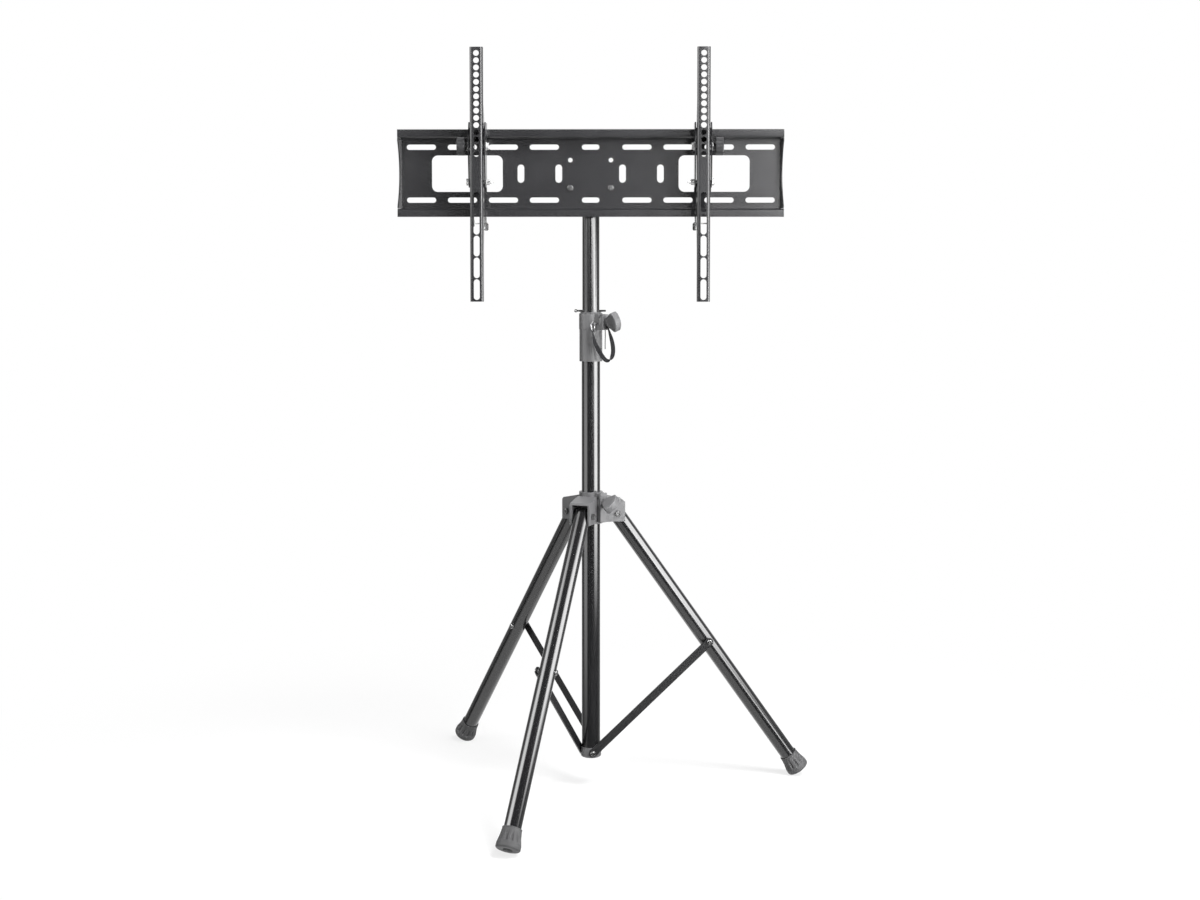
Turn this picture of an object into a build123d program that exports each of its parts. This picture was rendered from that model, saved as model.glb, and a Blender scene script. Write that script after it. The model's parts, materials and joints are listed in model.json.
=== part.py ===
"""Portable display stand: a folding tripod, a telescopic mast and a tilting screen mount.

Frame: millimetres, +Z up, origin on the pole's axis at floor level. +X runs along the screen
plate, and -Y is the side that the screen faces. Every sub-part is written to parts/NODE.step.
"""
from build123d import *
import math
import os

# ---------------------------------------------------------------- clearances
GAP = 0.3               # between neighbours that swing or slide past each other
RUN = 0.1               # radial, round a sliding or turning tube
PIN_RUN = 0.05          # radial, round a pin, screw or stud

# ---------------------------------------------------------------- tripod legs
AZIMUTHS = {"right": 11.0, "left": 131.0, "front": -109.0}
LEG_OD = 28.0
LEG_WALL = 1.2
LEG_ANGLE = 35.3        # from plumb, legs spread
LEG_LENGTH = 576.0      # pivot to the middle of the sole
PIVOT_RADIUS = 44.0     # leg pivot from the pole's axis
LEG_BOLT_R = 3.0
LEG_PLUG_DEPTH = 26.0   # how far the top plug reaches down the leg
FOOT_LENGTH = 37.0
FOOT_TOP_R = 15.7
FOOT_SOLE_R = 20.0
FOOT_EDGE = 2.0         # rounding of the sole's rim
FOOT_SOLE = 8.0         # rubber under the tube's end
FOOT_RECESS_R = 7.0
FOOT_RECESS = 3.0
FOOT_RIBS = 14          # grooves round each foot
FOOT_GROOVE = 1.1

# ---------------------------------------------------------------- braces
BRACE_AT = 283.6        # along the leg from its pivot
BRACE_WIDTH = 14.0
BRACE_T = 2.5
BRACE_PIVOT_Z = 62.0
BRACE_HOLE_R = 2.5

# ---------------------------------------------------------------- lower pole and its end cap
POLE_OD = 32.0
POLE_ID = 30.0
POLE_TOP = 796.3
CAP_BOTTOM = 53.0
CAP_TOP = 71.0
CAP_R = 17.6
CAP_PLUG = 20.0

# ---------------------------------------------------------------- leg hub, heights from the leg pivots
HUB_TOP = 37.5
HUB_BOTTOM = -17.0
HUB_SLEEVE_R = 20.5
CHEEK_T = 3.5
CHEEK_BOTTOM = -14.0
CHEEK_END = 13.0        # cheek beyond the pivot
ROOF_IN = 31.0          # top of the roof at the sleeve
ROOF_OUT = 23.5         # and near its outer end
ROOF_T = 2.6
ROOF_CORNER = 3.5       # slope of the cheeks' upper corners
CLEVIS_DEPTH = 16.5     # open room behind the pivot

# ---------------------------------------------------------------- clamp screws
CLAMP_AZIMUTH = -48.0
BOSS_WIDTH = 16.0
NUT_SLOT = 4.4
NUT_SIZE = 13.0
STUD_R = 3.5
HUB_SCREW_Z = 20.5      # above the leg pivots
HUB_BOSS_END = 34.0
HUB_KNOB_SPIN = -45.0
COLLAR_SCREW_Z = 814.3
COLLAR_BOSS_END = 40.0
COLLAR_KNOB_SPIN = 22.0
KNOB_HALF = 18.3        # half length of the paddle
KNOB_T = 13.0
KNOB_DEPTH = 28.0
KNOB_NECK_R = 6.0
KNOB_ROUND = 2.4

# ---------------------------------------------------------------- collar and bush
COLLAR_BOTTOM = 744.7
COLLAR_TOP = 827.3
COLLAR_R = 19.8
BAND_R = 20.4
BAND_BOTTOM = 799.8
COLLAR_DIMPLE_DOWN = 41.5   # small blind hole in the front, from the top
BUSH_R = 17.0
BUSH_RIM_R = 18.2
BUSH_RIM = 1.8

# ---------------------------------------------------------------- mast
MAST_OD = 29.6
MAST_WALL = 1.2
MAST_BOTTOM = 120.0
GUIDE_LENGTH = 22.0
GUIDE_R = 14.9
PIN_R = 1.8
PIN_LEFT = 24.0         # shaft to the left of the axis, up to the bulb
PIN_RIGHT = 26.0
PIN_BULB_R = 3.0
HOLE_PITCH = 50.0
HOLE_COUNT = 13

# ---------------------------------------------------------------- cross plate, heights from its centre
PLATE_Z = 1066.3
PLATE_HALF_X = 328.0
PLATE_HALF_Z = 74.0
SHEET = 2.0
TRAY_DEPTH = 20.0       # web's back to the lips' front
LIP = 12.0
BEND = 2.0              # centre-line radius of the bends
END_LEAN = 4.0          # end walls lean outward by this much
END_WAIST = 10.0        # how far the end walls are cut back at mid height
SLOT_X = (79.0, 149.0, 219.0, 289.0)
SLOT_Z = 45.0
SLOT_LENGTH = 50.0
SLOT_WIDTH = 9.0
MID_SLOT_LENGTH = 30.0
WINDOW_X = 210.5
WINDOW = (121.0, 62.0, 10.0)
UPRIGHT_SLOT_X = (54.4, 119.0)
UPRIGHT_SLOT = (31.0, 11.5)
SMALL_HOLE_X = 34.6
SMALL_HOLE_UP = 23.0
SCREW_DOWN = -24.0
SMALL_HOLE_R = 3.9

# ---------------------------------------------------------------- head bracket
BRACKET_T = 3.0
BRACKET_HALF = 44.0
BRACKET_TOP = -12.0     # from the plate's centre
SHELF_TOP = -54.0
PLATE_SCREW_R = 3.0

# ---------------------------------------------------------------- arms, from the plate's centre
ARM_X = 190.0
ARM_TOP = 207.7
ARM_BOTTOM = -217.0
ARM_HALF = 11.0
ARM_SHEET = 1.8
ARM_BEND = 2.6
ARM_FACE = 82.0         # screen face in front of the pole's axis
FLANGE_END = 13.0
FLANGE_MID = 30.0
FLANGE_STEPS = (-132.0, -102.0, -34.0, 92.0, 116.0)   # heights where the flanges change depth
ROUND_HOLES = 15
ROUND_PITCH = 11.95
ROUND_FIRST = 10.4
ROUND_R = 4.8
ARM_SLOTS = 5
ARM_SLOT = (34.5, 10.0)
ARM_SLOT_PITCH = 36.5
ARM_SLOT_EDGE = 3.0     # under the last slot

# ---------------------------------------------------------------- hook brackets, tilt and latches
HOOK_HALF = 14.5
HOOK_T = 2.0
HOOK_TOP = 84.0
HOOK_BOTTOM = -25.0
TILT_Y = 60.0           # tilt pivot in front of the pole's axis
TILT_Z = -16.0
TILT_RADIUS = 60.0      # pivot to the locking stud
TILT_MAX = 12.0
TILT_BOLT_R = 3.0
TILT_KNOB_R = 15.7
TILT_KNOB_T = 14.0
TILT_KNOB_AT = 20.0     # knob's inner face from the arm's middle
LATCH_Z = -85.3
LATCH_PIN_R = 1.25
LATCH_BACK = 3.5        # latch pin behind the lip's back face
TAIL_END = 5.5          # bracket's tail under the latch pin
TAB_END = 12.0          # latch's thumb tab under the pin
FINGER = 1.6            # thickness of the finger that crosses the tail

# ---------------------------------------------------------------- ring, lanyard and tail
RING_R = 7.2
RING_WIRE_R = 0.8
RING_X = 4.0
RING_Y = -29.6
RING_TOP = 813.2        # the ring's wire where it hangs on the tab
RING_TURN = -26.0
TAB_HALF = 3.4          # the tab that holds the ring
TAB_T = 2.4
TAB_RIM = 1.2           # half the bar in front of the tab's slot
STRAP_WIDTH = 4.0
STRAP_POINTS = [(4, -29.6, 795.8), (5.6, -29.4, 782.3), (11.4, -28.6, 768.8), (18.8, -28.2, 755.8),
                (26.6, -28.6, 746.3), (34.2, -29.4, 747.8), (38.8, -30.4, 758.8), (38.2, -31.6, 774.3),
                (33.8, -32.6, 791.3), (28.6, -31.7, 807.2)]
TAIL_DIAMETER = 1.4
TAIL_POINTS = [(24.9, -28.3, 799.5), (25.3, -28.6, 790.3), (24.7, -28.9, 778.3), (24.9, -29, 766.8)]

# ---------------------------------------------------------------- worked out from the above
POLE_R = POLE_OD / 2
MAST_R = MAST_OD / 2
LEG_R = LEG_OD / 2
LEAN = math.radians(LEG_ANGLE)
SOLE_Z = (FOOT_SOLE_R - FOOT_EDGE) * math.sin(LEAN) + FOOT_EDGE * (1 - math.cos(LEAN))
PIVOT_Z = SOLE_Z + LEG_LENGTH * math.cos(LEAN)
BRACE_X = PIVOT_RADIUS + BRACE_AT * math.sin(LEAN)
BRACE_RISE = PIVOT_Z - BRACE_AT * math.cos(LEAN) - BRACE_PIVOT_Z
BRACE_LENGTH = math.hypot(BRACE_X, BRACE_RISE)
BRACE_ANGLE = math.degrees(math.atan2(BRACE_X, BRACE_RISE))
FOLDED_ANGLE = math.degrees(math.asin(PIVOT_RADIUS / BRACE_LENGTH))
HUB_TRAVEL = (BRACE_PIVOT_Z + math.sqrt(BRACE_LENGTH ** 2 - PIVOT_RADIUS ** 2) + BRACE_AT) - PIVOT_Z
BRACE_IN = POLE_R + GAP                         # strap's inner face beside the pole
BRACE_OUT = BRACE_IN + BRACE_T
CLEVIS_IN = LEG_R + 0.5
CLEVIS_OUT = CLEVIS_IN + CHEEK_T
COLLAR_BORE = BUSH_R + RUN
MAST_TOP = PLATE_Z + SHELF_TOP - BRACKET_T
PIN_Z = COLLAR_TOP + GAP + BUSH_RIM + PIN_R + GAP
BRACKET_BACK = MAST_R + 1.2                     # head bracket's upright, distances towards the screen
WEB_BACK = BRACKET_BACK + BRACKET_T
WEB_FRONT = WEB_BACK + SHEET
LIP_FRONT = WEB_BACK + TRAY_DEPTH
LIP_BACK = LIP_FRONT - SHEET
HOOK_BACK = LIP_FRONT + GAP
HOOK_FRONT = HOOK_BACK + HOOK_T
LATCH_Y = LIP_BACK - LATCH_BACK
ARM_SLOT_LOW = ARM_BOTTOM + ARM_SLOT_EDGE + ARM_SLOT[0] / 2
LOCK_Z = TILT_Z + TILT_RADIUS


# ---------------------------------------------------------------- helpers
def rod(radius, start, end):
    """A round bar between two points."""
    a, b = Vector(*start), Vector(*end)
    along = b - a
    return Plane(a, z_dir=along) * extrude(Circle(radius), along.length)


def ring(outer, inner, bottom, top):
    """An upright tube round the pole's axis."""
    height = top - bottom
    body = Cylinder(outer, height) - Cylinder(inner, height + 2)
    return Pos(0, 0, bottom + height / 2) * body


def block(x0, x1, y0, y1, z0, z1):
    """A box between two corners."""
    return Pos((x0 + x1) / 2, (y0 + y1) / 2, (z0 + z1) / 2) * Box(x1 - x0, y1 - y0, z1 - z0)


def side_plate(points, x0, x1, rounding=0.0):
    """A plate in the Y-Z plane between x0 and x1, from its outline."""
    outline = make_face(Polyline(*points, close=True))
    if rounding:
        outline = fillet(outline.vertices(), rounding)
    return Plane.YZ.offset(x0) * extrude(outline, x1 - x0)


def punch(shape, x, y, z, depth):
    """A cutter for a sheet in the X-Z plane: the flat shape, run depth each way along Y."""
    return Pos(x, y, z) * Rot(90, 0, 0) * extrude(shape, depth, both=True)


def folded(points, thickness, bend):
    """The section of a bent sheet, from its middle line."""
    return trace(FilletPolyline(*points, radius=bend), line_width=thickness)


def hex_nut(across, height, bore):
    """A hexagon nut along +Z from the origin."""
    return extrude(RegularPolygon(across / 2, 6, major_radius=False) - Circle(bore), height)


def to_leg(part, name):
    """Put a piece made in a leg's own frame (X outward, Z up from the pivot) at its azimuth."""
    return Rot(0, 0, AZIMUTHS[name]) * Pos(PIVOT_RADIUS, 0, PIVOT_Z) * part


def lean_leg(part):
    """Lean a piece made hanging straight down from the leg pivot."""
    return Rot(0, -LEG_ANGLE, 0) * part


# ---------------------------------------------------------------- legs, feet and braces
def leg_tube():
    length = LEG_LENGTH - FOOT_SOLE
    bore_r = LEG_R - LEG_WALL
    top = LEG_R
    tube = Pos(0, 0, (top - length) / 2) * (Cylinder(LEG_R, top + length) - Cylinder(bore_r, top + length + 2))
    shaft = Pos(0, 0, -length / 2) * Box(LEG_OD + 2, LEG_OD + 2, length)
    turn = Rot(90, 0, 0) * Cylinder(LEG_R, LEG_OD + 2)
    tube = tube & (shaft + turn)
    tube -= rod(LEG_BOLT_R + PIN_RUN, (0, -LEG_R - 1, 0), (0, LEG_R + 1, 0))
    return tube - rod(BRACE_HOLE_R, (0, -LEG_R - 1, -BRACE_AT), (0, LEG_R + 1, -BRACE_AT))


def leg_plug():
    """Moulded plug in the leg's top, rounded to turn in the clevis."""
    plug_r = LEG_R - LEG_WALL
    top = LEG_R - 1
    plug = Pos(0, 0, (top - LEG_PLUG_DEPTH) / 2) * Cylinder(plug_r, top + LEG_PLUG_DEPTH)
    turn = Rot(90, 0, 0) * Cylinder(top, LEG_OD)
    shaft = Pos(0, 0, -LEG_PLUG_DEPTH / 2) * Box(LEG_OD, LEG_OD, LEG_PLUG_DEPTH)
    plug = plug & (shaft + turn)
    return plug - rod(LEG_BOLT_R + PIN_RUN, (0, -LEG_R, 0), (0, LEG_R, 0))


def foot():
    """Rubber shoe: a flared cup over the leg's end, ribbed outside, with a dished sole."""
    low, high = -LEG_LENGTH, -LEG_LENGTH + FOOT_LENGTH
    outline = Polyline((0, low), (FOOT_SOLE_R, low), (FOOT_SOLE_R, low + 9), (FOOT_TOP_R + 1.6, low + 20),
                       (FOOT_TOP_R, high), (0, high), close=True)
    face = make_face(outline)
    rim = face.vertices().sort_by(Axis.X)[-2:]
    face = fillet(rim, FOOT_EDGE)
    shoe = revolve(Plane.XZ * face, Axis.Z)
    shoe -= Pos(0, 0, low + FOOT_SOLE + FOOT_LENGTH / 2) * Cylinder(LEG_R, FOOT_LENGTH)
    shoe -= Pos(0, 0, low) * Cylinder(FOOT_RECESS_R, 2 * FOOT_RECESS)
    for number in range(FOOT_RIBS):
        turn = 360 / FOOT_RIBS * number
        groove = Box(2 * FOOT_GROOVE, 3.4, 12)
        shoe -= Rot(0, 0, turn) * Pos(FOOT_SOLE_R, 0, low + 5 + 6 + 3) * groove
    return shoe


def leg_bolt():
    """Pivot bolt across a clevis, head on the side of the brace."""
    head = rod(5.0, (0, -CLEVIS_OUT - 3.2, 0), (0, -CLEVIS_OUT, 0))
    socket = Pos(0, -CLEVIS_OUT - 3.2, 0) * Rot(90, 0, 0) * extrude(RegularPolygon(2.5, 6), 2, both=True)
    return head + rod(LEG_BOLT_R, (0, -CLEVIS_OUT, 0), (0, CLEVIS_OUT + 5.5, 0)) - socket


def leg_nut():
    return Pos(0, CLEVIS_OUT, 0) * Rot(-90, 0, 0) * hex_nut(10.0, 4.5, LEG_BOLT_R)


def brace_bolt():
    """Bolt through the leg: domed head on the far side, washer and end on the strap's side."""
    dome_r = 4.8
    shank = rod(BRACE_HOLE_R, (0, -BRACE_IN + GAP, -BRACE_AT), (0, LEG_R + 1, -BRACE_AT))
    washer = rod(4.5, (0, -BRACE_IN + GAP, -BRACE_AT), (0, -LEG_R, -BRACE_AT))
    washer -= rod(BRACE_HOLE_R, (0, -BRACE_IN, -BRACE_AT), (0, 0, -BRACE_AT))
    head = rod(dome_r, (0, LEG_R, -BRACE_AT), (0, LEG_R + 3.4, -BRACE_AT))
    head = fillet(head.faces().sort_by(Axis.Y)[-1].edges(), 1.6)
    return shank + head + washer


def brace():
    """Flat strap, made upright from its lower pivot, on the side away from +Y."""
    half = BRACE_WIDTH / 2
    strap = extrude(SlotOverall(BRACE_LENGTH + BRACE_WIDTH, BRACE_WIDTH, rotation=90), BRACE_T)
    strap -= Pos(0, -BRACE_LENGTH / 2, 0) * Cylinder(BRACE_HOLE_R + PIN_RUN, 4 * BRACE_T)
    strap -= Pos(0, BRACE_LENGTH / 2, 0) * Cylinder(BRACE_HOLE_R, 4 * BRACE_T)
    flat = Rot(90, 0, 0) * Pos(0, BRACE_LENGTH / 2, 0) * strap
    bead = block(-half / 4, half / 4, -BRACE_OUT - 0.5, -BRACE_OUT, 14, BRACE_LENGTH - 14)
    return Pos(0, -BRACE_IN, 0) * flat + bead


def brace_rivet():
    """Domed rivet head in the strap's leg end."""
    head = rod(4.5, (0, -BRACE_OUT - 2.4, BRACE_LENGTH), (0, -BRACE_OUT, BRACE_LENGTH))
    head = fillet(head.faces().sort_by(Axis.Y)[0].edges(), 1.2)
    return head + rod(BRACE_HOLE_R, (0, -BRACE_OUT, BRACE_LENGTH), (0, -BRACE_IN, BRACE_LENGTH))


def to_brace(part, name):
    """Put a piece made on an upright brace at its azimuth and lean."""
    return Rot(0, 0, AZIMUTHS[name]) * Pos(0, 0, BRACE_PIVOT_Z) * Rot(0, BRACE_ANGLE, 0) * part


# ---------------------------------------------------------------- lower pole
def lower_pole():
    return ring(POLE_R, POLE_ID / 2, CAP_TOP, POLE_TOP)


def end_cap():
    """Plug in the pole's lower end, with a flat and a screw hole for each brace."""
    body = Pos(0, 0, (CAP_BOTTOM + CAP_TOP) / 2) * Cylinder(CAP_R, CAP_TOP - CAP_BOTTOM)
    body = fillet(body.faces().sort_by(Axis.Z)[0].edges(), 3)
    plug = ring(POLE_ID / 2, POLE_ID / 2 - 3, CAP_TOP, CAP_TOP + CAP_PLUG)
    body += plug
    for azimuth in AZIMUTHS.values():
        flat = block(-CAP_R, CAP_R, -CAP_R - 4, -BRACE_IN + 0.1, CAP_BOTTOM - 1, CAP_TOP + 1)
        hole = rod(BRACE_HOLE_R, (0, -CAP_R - 1, BRACE_PIVOT_Z), (0, -6, BRACE_PIVOT_Z))
        body -= Rot(0, 0, azimuth) * (flat + hole)
    return body


def brace_screw():
    """Screw that carries a brace on the end cap."""
    face = -BRACE_OUT - GAP
    head = rod(4.5, (0, face - 2.4, 0), (0, face, 0))
    head = fillet(head.faces().sort_by(Axis.Y)[0].edges(), 1.2)
    screw = head + rod(BRACE_HOLE_R, (0, face, 0), (0, -6, 0))
    return screw - block(-0.6, 0.6, face - 3, face - 1.4, -3, 3)


# ---------------------------------------------------------------- clamp screws
def clamp_frame(part, height):
    """Put a piece made along +X (out from the pole's axis) at the clamp's azimuth and height."""
    return Rot(0, 0, CLAMP_AZIMUTH) * Pos(0, 0, height) * part


def boss(start, end, low, high, slot_at, bore_from):
    """Screw boss along +X, with a slot for the nut that is open at the top and sides."""
    half = BOSS_WIDTH / 2
    body = block(start, end, -half, half, low, high)
    body = fillet(body.edges().filter_by(Axis.Z).sort_by(Axis.X)[-2:], 1.5)
    body -= block(slot_at, slot_at + NUT_SLOT, -half - 1, half + 1, -NUT_SIZE / 2 - 0.2, high + 1)
    return body - rod(STUD_R + RUN, (bore_from, 0, 0), (end + 1, 0, 0))


def square_nut(slot_at):
    middle = slot_at + NUT_SLOT / 2
    nut = Pos(middle, 0, 0) * Box(NUT_SLOT - 0.2, NUT_SIZE, NUT_SIZE)
    nut = chamfer(nut.edges().filter_by(Axis.X), 1.0)
    return nut - rod(STUD_R + PIN_RUN, (slot_at - 1, 0, 0), (slot_at + NUT_SLOT + 1, 0, 0))


def clamp_knob(at, spin):
    """Moulded paddle knob: a neck that fans out to a crowned edge."""
    outline = Line((2, -KNOB_NECK_R), (KNOB_DEPTH - 8, -KNOB_HALF))
    outline += ThreePointArc((KNOB_DEPTH - 8, -KNOB_HALF), (KNOB_DEPTH, 0), (KNOB_DEPTH - 8, KNOB_HALF))
    outline += Polyline((KNOB_DEPTH - 8, KNOB_HALF), (2, KNOB_NECK_R), (2, -KNOB_NECK_R))
    paddle = extrude(make_face(outline), KNOB_T / 2, both=True)
    paddle = fillet(paddle.edges(), KNOB_ROUND)
    dish = Cylinder(9.5, 2.4)
    paddle -= Pos(KNOB_DEPTH - 13, 0, KNOB_T / 2) * dish
    paddle -= Pos(KNOB_DEPTH - 13, 0, -KNOB_T / 2) * dish
    knob = paddle + rod(KNOB_NECK_R, (0, 0, 0), (8, 0, 0))
    knob -= rod(STUD_R, (-1, 0, 0), (12, 0, 0))
    return Pos(at, 0, 0) * Rot(90 + spin, 0, 0) * knob


def clamp_stud(tip, at):
    stud = rod(STUD_R, (tip, 0, 0), (at + 12, 0, 0))
    return chamfer(stud.faces().sort_by(Axis.X)[0].edges(), 0.8)


HUB_SLOT_AT = 25.0
HUB_KNOB_AT = HUB_BOSS_END + GAP
COLLAR_SLOT_AT = 29.5
COLLAR_KNOB_AT = COLLAR_BOSS_END + 2.8


# ---------------------------------------------------------------- leg hub
def clevis_box():
    """One clevis in a leg's frame, pivot at the origin: two cheeks under a sloping roof."""
    back = -PIVOT_RADIUS + HUB_SLEEVE_R - 3
    end = CHEEK_END
    corner = end - ROOF_CORNER
    side = [(back, CHEEK_BOTTOM), (end, CHEEK_BOTTOM), (end, ROOF_OUT - ROOF_CORNER), (corner, ROOF_OUT),
            (back, ROOF_IN)]
    outline = make_face(Polyline(*side, close=True))
    body = Rot(90, 0, 0) * extrude(outline, CLEVIS_OUT, both=True)
    slope = (ROOF_IN - ROOF_OUT) / (corner - back)
    under = [(-CLEVIS_DEPTH, CHEEK_BOTTOM - 1), (end + 1, CHEEK_BOTTOM - 1),
             (end + 1, ROOF_OUT - ROOF_T - slope * (end + 1 - corner)),
             (-CLEVIS_DEPTH, ROOF_IN - ROOF_T - slope * (-CLEVIS_DEPTH - back))]
    body -= Rot(90, 0, 0) * extrude(make_face(Polyline(*under, close=True)), CLEVIS_IN, both=True)
    return body - rod(LEG_BOLT_R, (0, -CLEVIS_OUT - 1, 0), (0, CLEVIS_OUT + 1, 0))


def leg_hub():
    """Moulded sleeve that slides on the pole, with three clevises and the clamp boss."""
    hub = Pos(0, 0, PIVOT_Z + (HUB_TOP + HUB_BOTTOM) / 2) * Cylinder(HUB_SLEEVE_R, HUB_TOP - HUB_BOTTOM)
    for name in AZIMUTHS:
        hub += to_leg(clevis_box(), name)
    low, high = HUB_BOTTOM + 4 - HUB_SCREW_Z, HUB_TOP - HUB_SCREW_Z
    arm = boss(0, HUB_BOSS_END, low, high, HUB_SLOT_AT, 0)
    hub += clamp_frame(arm, PIVOT_Z + HUB_SCREW_Z)
    hub -= clamp_frame(rod(STUD_R + RUN, (0, 0, 0), (HUB_SLOT_AT + 1, 0, 0)), PIVOT_Z + HUB_SCREW_Z)
    bore_height = HUB_TOP - HUB_BOTTOM + 2
    return hub - Pos(0, 0, PIVOT_Z + (HUB_TOP + HUB_BOTTOM) / 2) * Cylinder(POLE_R + RUN, bore_height)


# ---------------------------------------------------------------- collar, bush, ring and lanyard
def collar():
    """Moulded collar on the pole's top: plain skirt, thicker band, screw boss and ring eyelet."""
    body = Pos(0, 0, (COLLAR_BOTTOM + COLLAR_TOP) / 2) * Cylinder(COLLAR_R, COLLAR_TOP - COLLAR_BOTTOM)
    body += Pos(0, 0, (BAND_BOTTOM + COLLAR_TOP) / 2) * Cylinder(BAND_R, COLLAR_TOP - BAND_BOTTOM)
    body = fillet(body.faces().sort_by(Axis.Z)[-1].edges(), 0.8)
    body += ring_frame(ring_tab(), RING_TOP)
    low, high = BAND_BOTTOM - COLLAR_SCREW_Z, COLLAR_TOP - 1 - COLLAR_SCREW_Z
    body += clamp_frame(boss(0, COLLAR_BOSS_END, low, high, COLLAR_SLOT_AT, 0), COLLAR_SCREW_Z)
    body -= clamp_frame(rod(STUD_R + RUN, (0, 0, 0), (COLLAR_SLOT_AT + 1, 0, 0)), COLLAR_SCREW_Z)
    body -= Pos(0, 0, (COLLAR_BOTTOM + POLE_TOP) / 2) * Cylinder(POLE_R, POLE_TOP - COLLAR_BOTTOM + 0.001)
    room = COLLAR_TOP - POLE_TOP
    body -= Pos(0, 0, POLE_TOP + room / 2) * Cylinder(COLLAR_BORE, room + 0.001)
    dimple = COLLAR_TOP - COLLAR_DIMPLE_DOWN
    return body - rod(1.3, (2.2, -COLLAR_R - 1, dimple), (2.2, -COLLAR_R + 1.2, dimple))


def ring_tab():
    """Tab on the collar's front with a slot for the ring, whose wire rests on the bar in front."""
    top = -RING_WIRE_R - 0.1
    tab = block(-TAB_HALF, TAB_HALF, -TAB_RIM, 14, top - TAB_T, top)
    tab = fillet(tab.edges().filter_by(Axis.Z).sort_by(Axis.Y)[:2], 2 * TAB_RIM - 0.2)
    drop = RING_R - RING_WIRE_R - 0.1 - TAB_T - 0.5
    reach = math.sqrt(RING_R ** 2 - drop ** 2) + RING_WIRE_R + 0.3
    return tab - block(-1.4, 1.4, TAB_RIM, reach, top - TAB_T - 1, top + 1)


def ring_frame(part, height):
    """Put a piece made round the ring's axis (+X) at the ring's place and turn."""
    return Pos(RING_X, RING_Y, height) * Rot(0, 0, RING_TURN) * part


def lanyard_ring():
    return ring_frame(Rot(0, 90, 0) * Torus(RING_R, RING_WIRE_R), RING_TOP - RING_R)


def lanyard_ends():
    """The strap's two sewn eyes: one round the ring's wire, one round the clamp stud."""
    small = extrude(Circle(2.5) - Circle(1.3), STRAP_WIDTH / 2, both=True)
    small = ring_frame(Rot(90, 0, 0) * small, RING_TOP - 2 * RING_R)
    large = extrude(Circle(6.0) - Circle(STUD_R + GAP), 2.2)
    large = clamp_frame(Pos(COLLAR_BOSS_END + 0.3, 0, 0) * Rot(0, 90, 0) * large, COLLAR_SCREW_Z)
    return [small, large]


def corner_radii(points):
    """The arc at each corner of a cord's route: as large as its two runs allow."""
    radii = []
    corners = [Vector(*point) for point in points]
    for before, here, after in zip(corners, corners[1:], corners[2:]):
        run = min((here - before).length, (after - here).length)
        turn = math.radians((here - before).get_angle(after - here))
        radii.append(0.45 * run / math.tan(turn / 2))
    return radii


def cord(name, points, diameter):
    """A plain tube along a cord's route."""
    radii = corner_radii(points)
    path = FilletPolyline(*points, radius=radii)
    start = Plane(points[0], z_dir=Vector(*points[1]) - Vector(*points[0]))
    tube = sweep(start * Circle(diameter / 2), path)
    straight = math.pi * diameter ** 2 / 4 * path.length
    print(name, "length", round(path.length, 1), "volume / section x length", round(tube.volume / straight, 4),
          "radii", [round(r, 1) for r in radii])
    return tube


def mast_bush():
    """Bush between the collar and the mast, with a rim on the collar's top."""
    inner = MAST_R + RUN
    sleeve = ring(BUSH_R, inner, POLE_TOP + GAP, COLLAR_TOP + GAP)
    rim = ring(BUSH_RIM_R, inner, COLLAR_TOP + GAP, COLLAR_TOP + GAP + BUSH_RIM)
    return sleeve + rim


# ---------------------------------------------------------------- mast and head bracket
def mast():
    tube = ring(MAST_R, MAST_R - MAST_WALL, MAST_BOTTOM, MAST_TOP)
    for number in range(HOLE_COUNT):
        height = PIN_Z - number * HOLE_PITCH
        tube -= rod(PIN_R + RUN, (-MAST_R - 1, 0, height), (MAST_R + 1, 0, height))
    return tube


def mast_guide():
    """Glide plug on the mast's lower end, running in the lower pole."""
    inner = MAST_R - MAST_WALL
    rim = ring(GUIDE_R, inner - 3, MAST_BOTTOM - 6, MAST_BOTTOM)
    return rim + ring(inner, inner - 3, MAST_BOTTOM, MAST_BOTTOM + GUIDE_LENGTH)


def height_pin():
    """Pin across the mast, with a bulb at its left end to pull it by."""
    shaft = rod(PIN_R, (-PIN_LEFT, 0, PIN_Z), (PIN_RIGHT, 0, PIN_Z))
    shaft = chamfer(shaft.faces().sort_by(Axis.X)[-1].edges(), 0.7)
    return shaft + Pos(-PIN_LEFT - 2, 0, PIN_Z) * Sphere(PIN_BULB_R)


def head_bracket():
    """Shelf on the mast's top and an upright behind the plate, joined by two gussets."""
    low = PLATE_Z + SHELF_TOP - BRACKET_T
    shelf = block(-BRACKET_HALF, BRACKET_HALF, -WEB_BACK, MAST_R + 3, low, low + BRACKET_T)
    shelf = fillet(shelf.edges().filter_by(Axis.Z).sort_by(Axis.Y)[-2:], 12)
    upright = block(-BRACKET_HALF, BRACKET_HALF, -WEB_BACK, -BRACKET_BACK, low, PLATE_Z + BRACKET_TOP)
    upright = fillet(upright.edges().filter_by(Axis.Y).sort_by(Axis.Z)[-2:], 6)
    upright -= punch(SlotOverall(MID_SLOT_LENGTH + 6, SLOT_WIDTH + 4), 0, -WEB_BACK, PLATE_Z - SLOT_Z, 10)
    for side in (-1, 1):
        upright -= punch(Circle(PLATE_SCREW_R), side * SMALL_HOLE_X, -WEB_BACK, PLATE_Z + SCREW_DOWN, 10)
    gusset = [(-BRACKET_BACK, low + BRACKET_T), (MAST_R - 4, low + BRACKET_T),
              (-BRACKET_BACK, PLATE_Z + BRACKET_TOP - 8)]
    body = shelf + upright
    for x in (-24.0, 24.0):
        body += side_plate(gusset, x - BRACKET_T / 2, x + BRACKET_T / 2)
    return body


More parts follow.
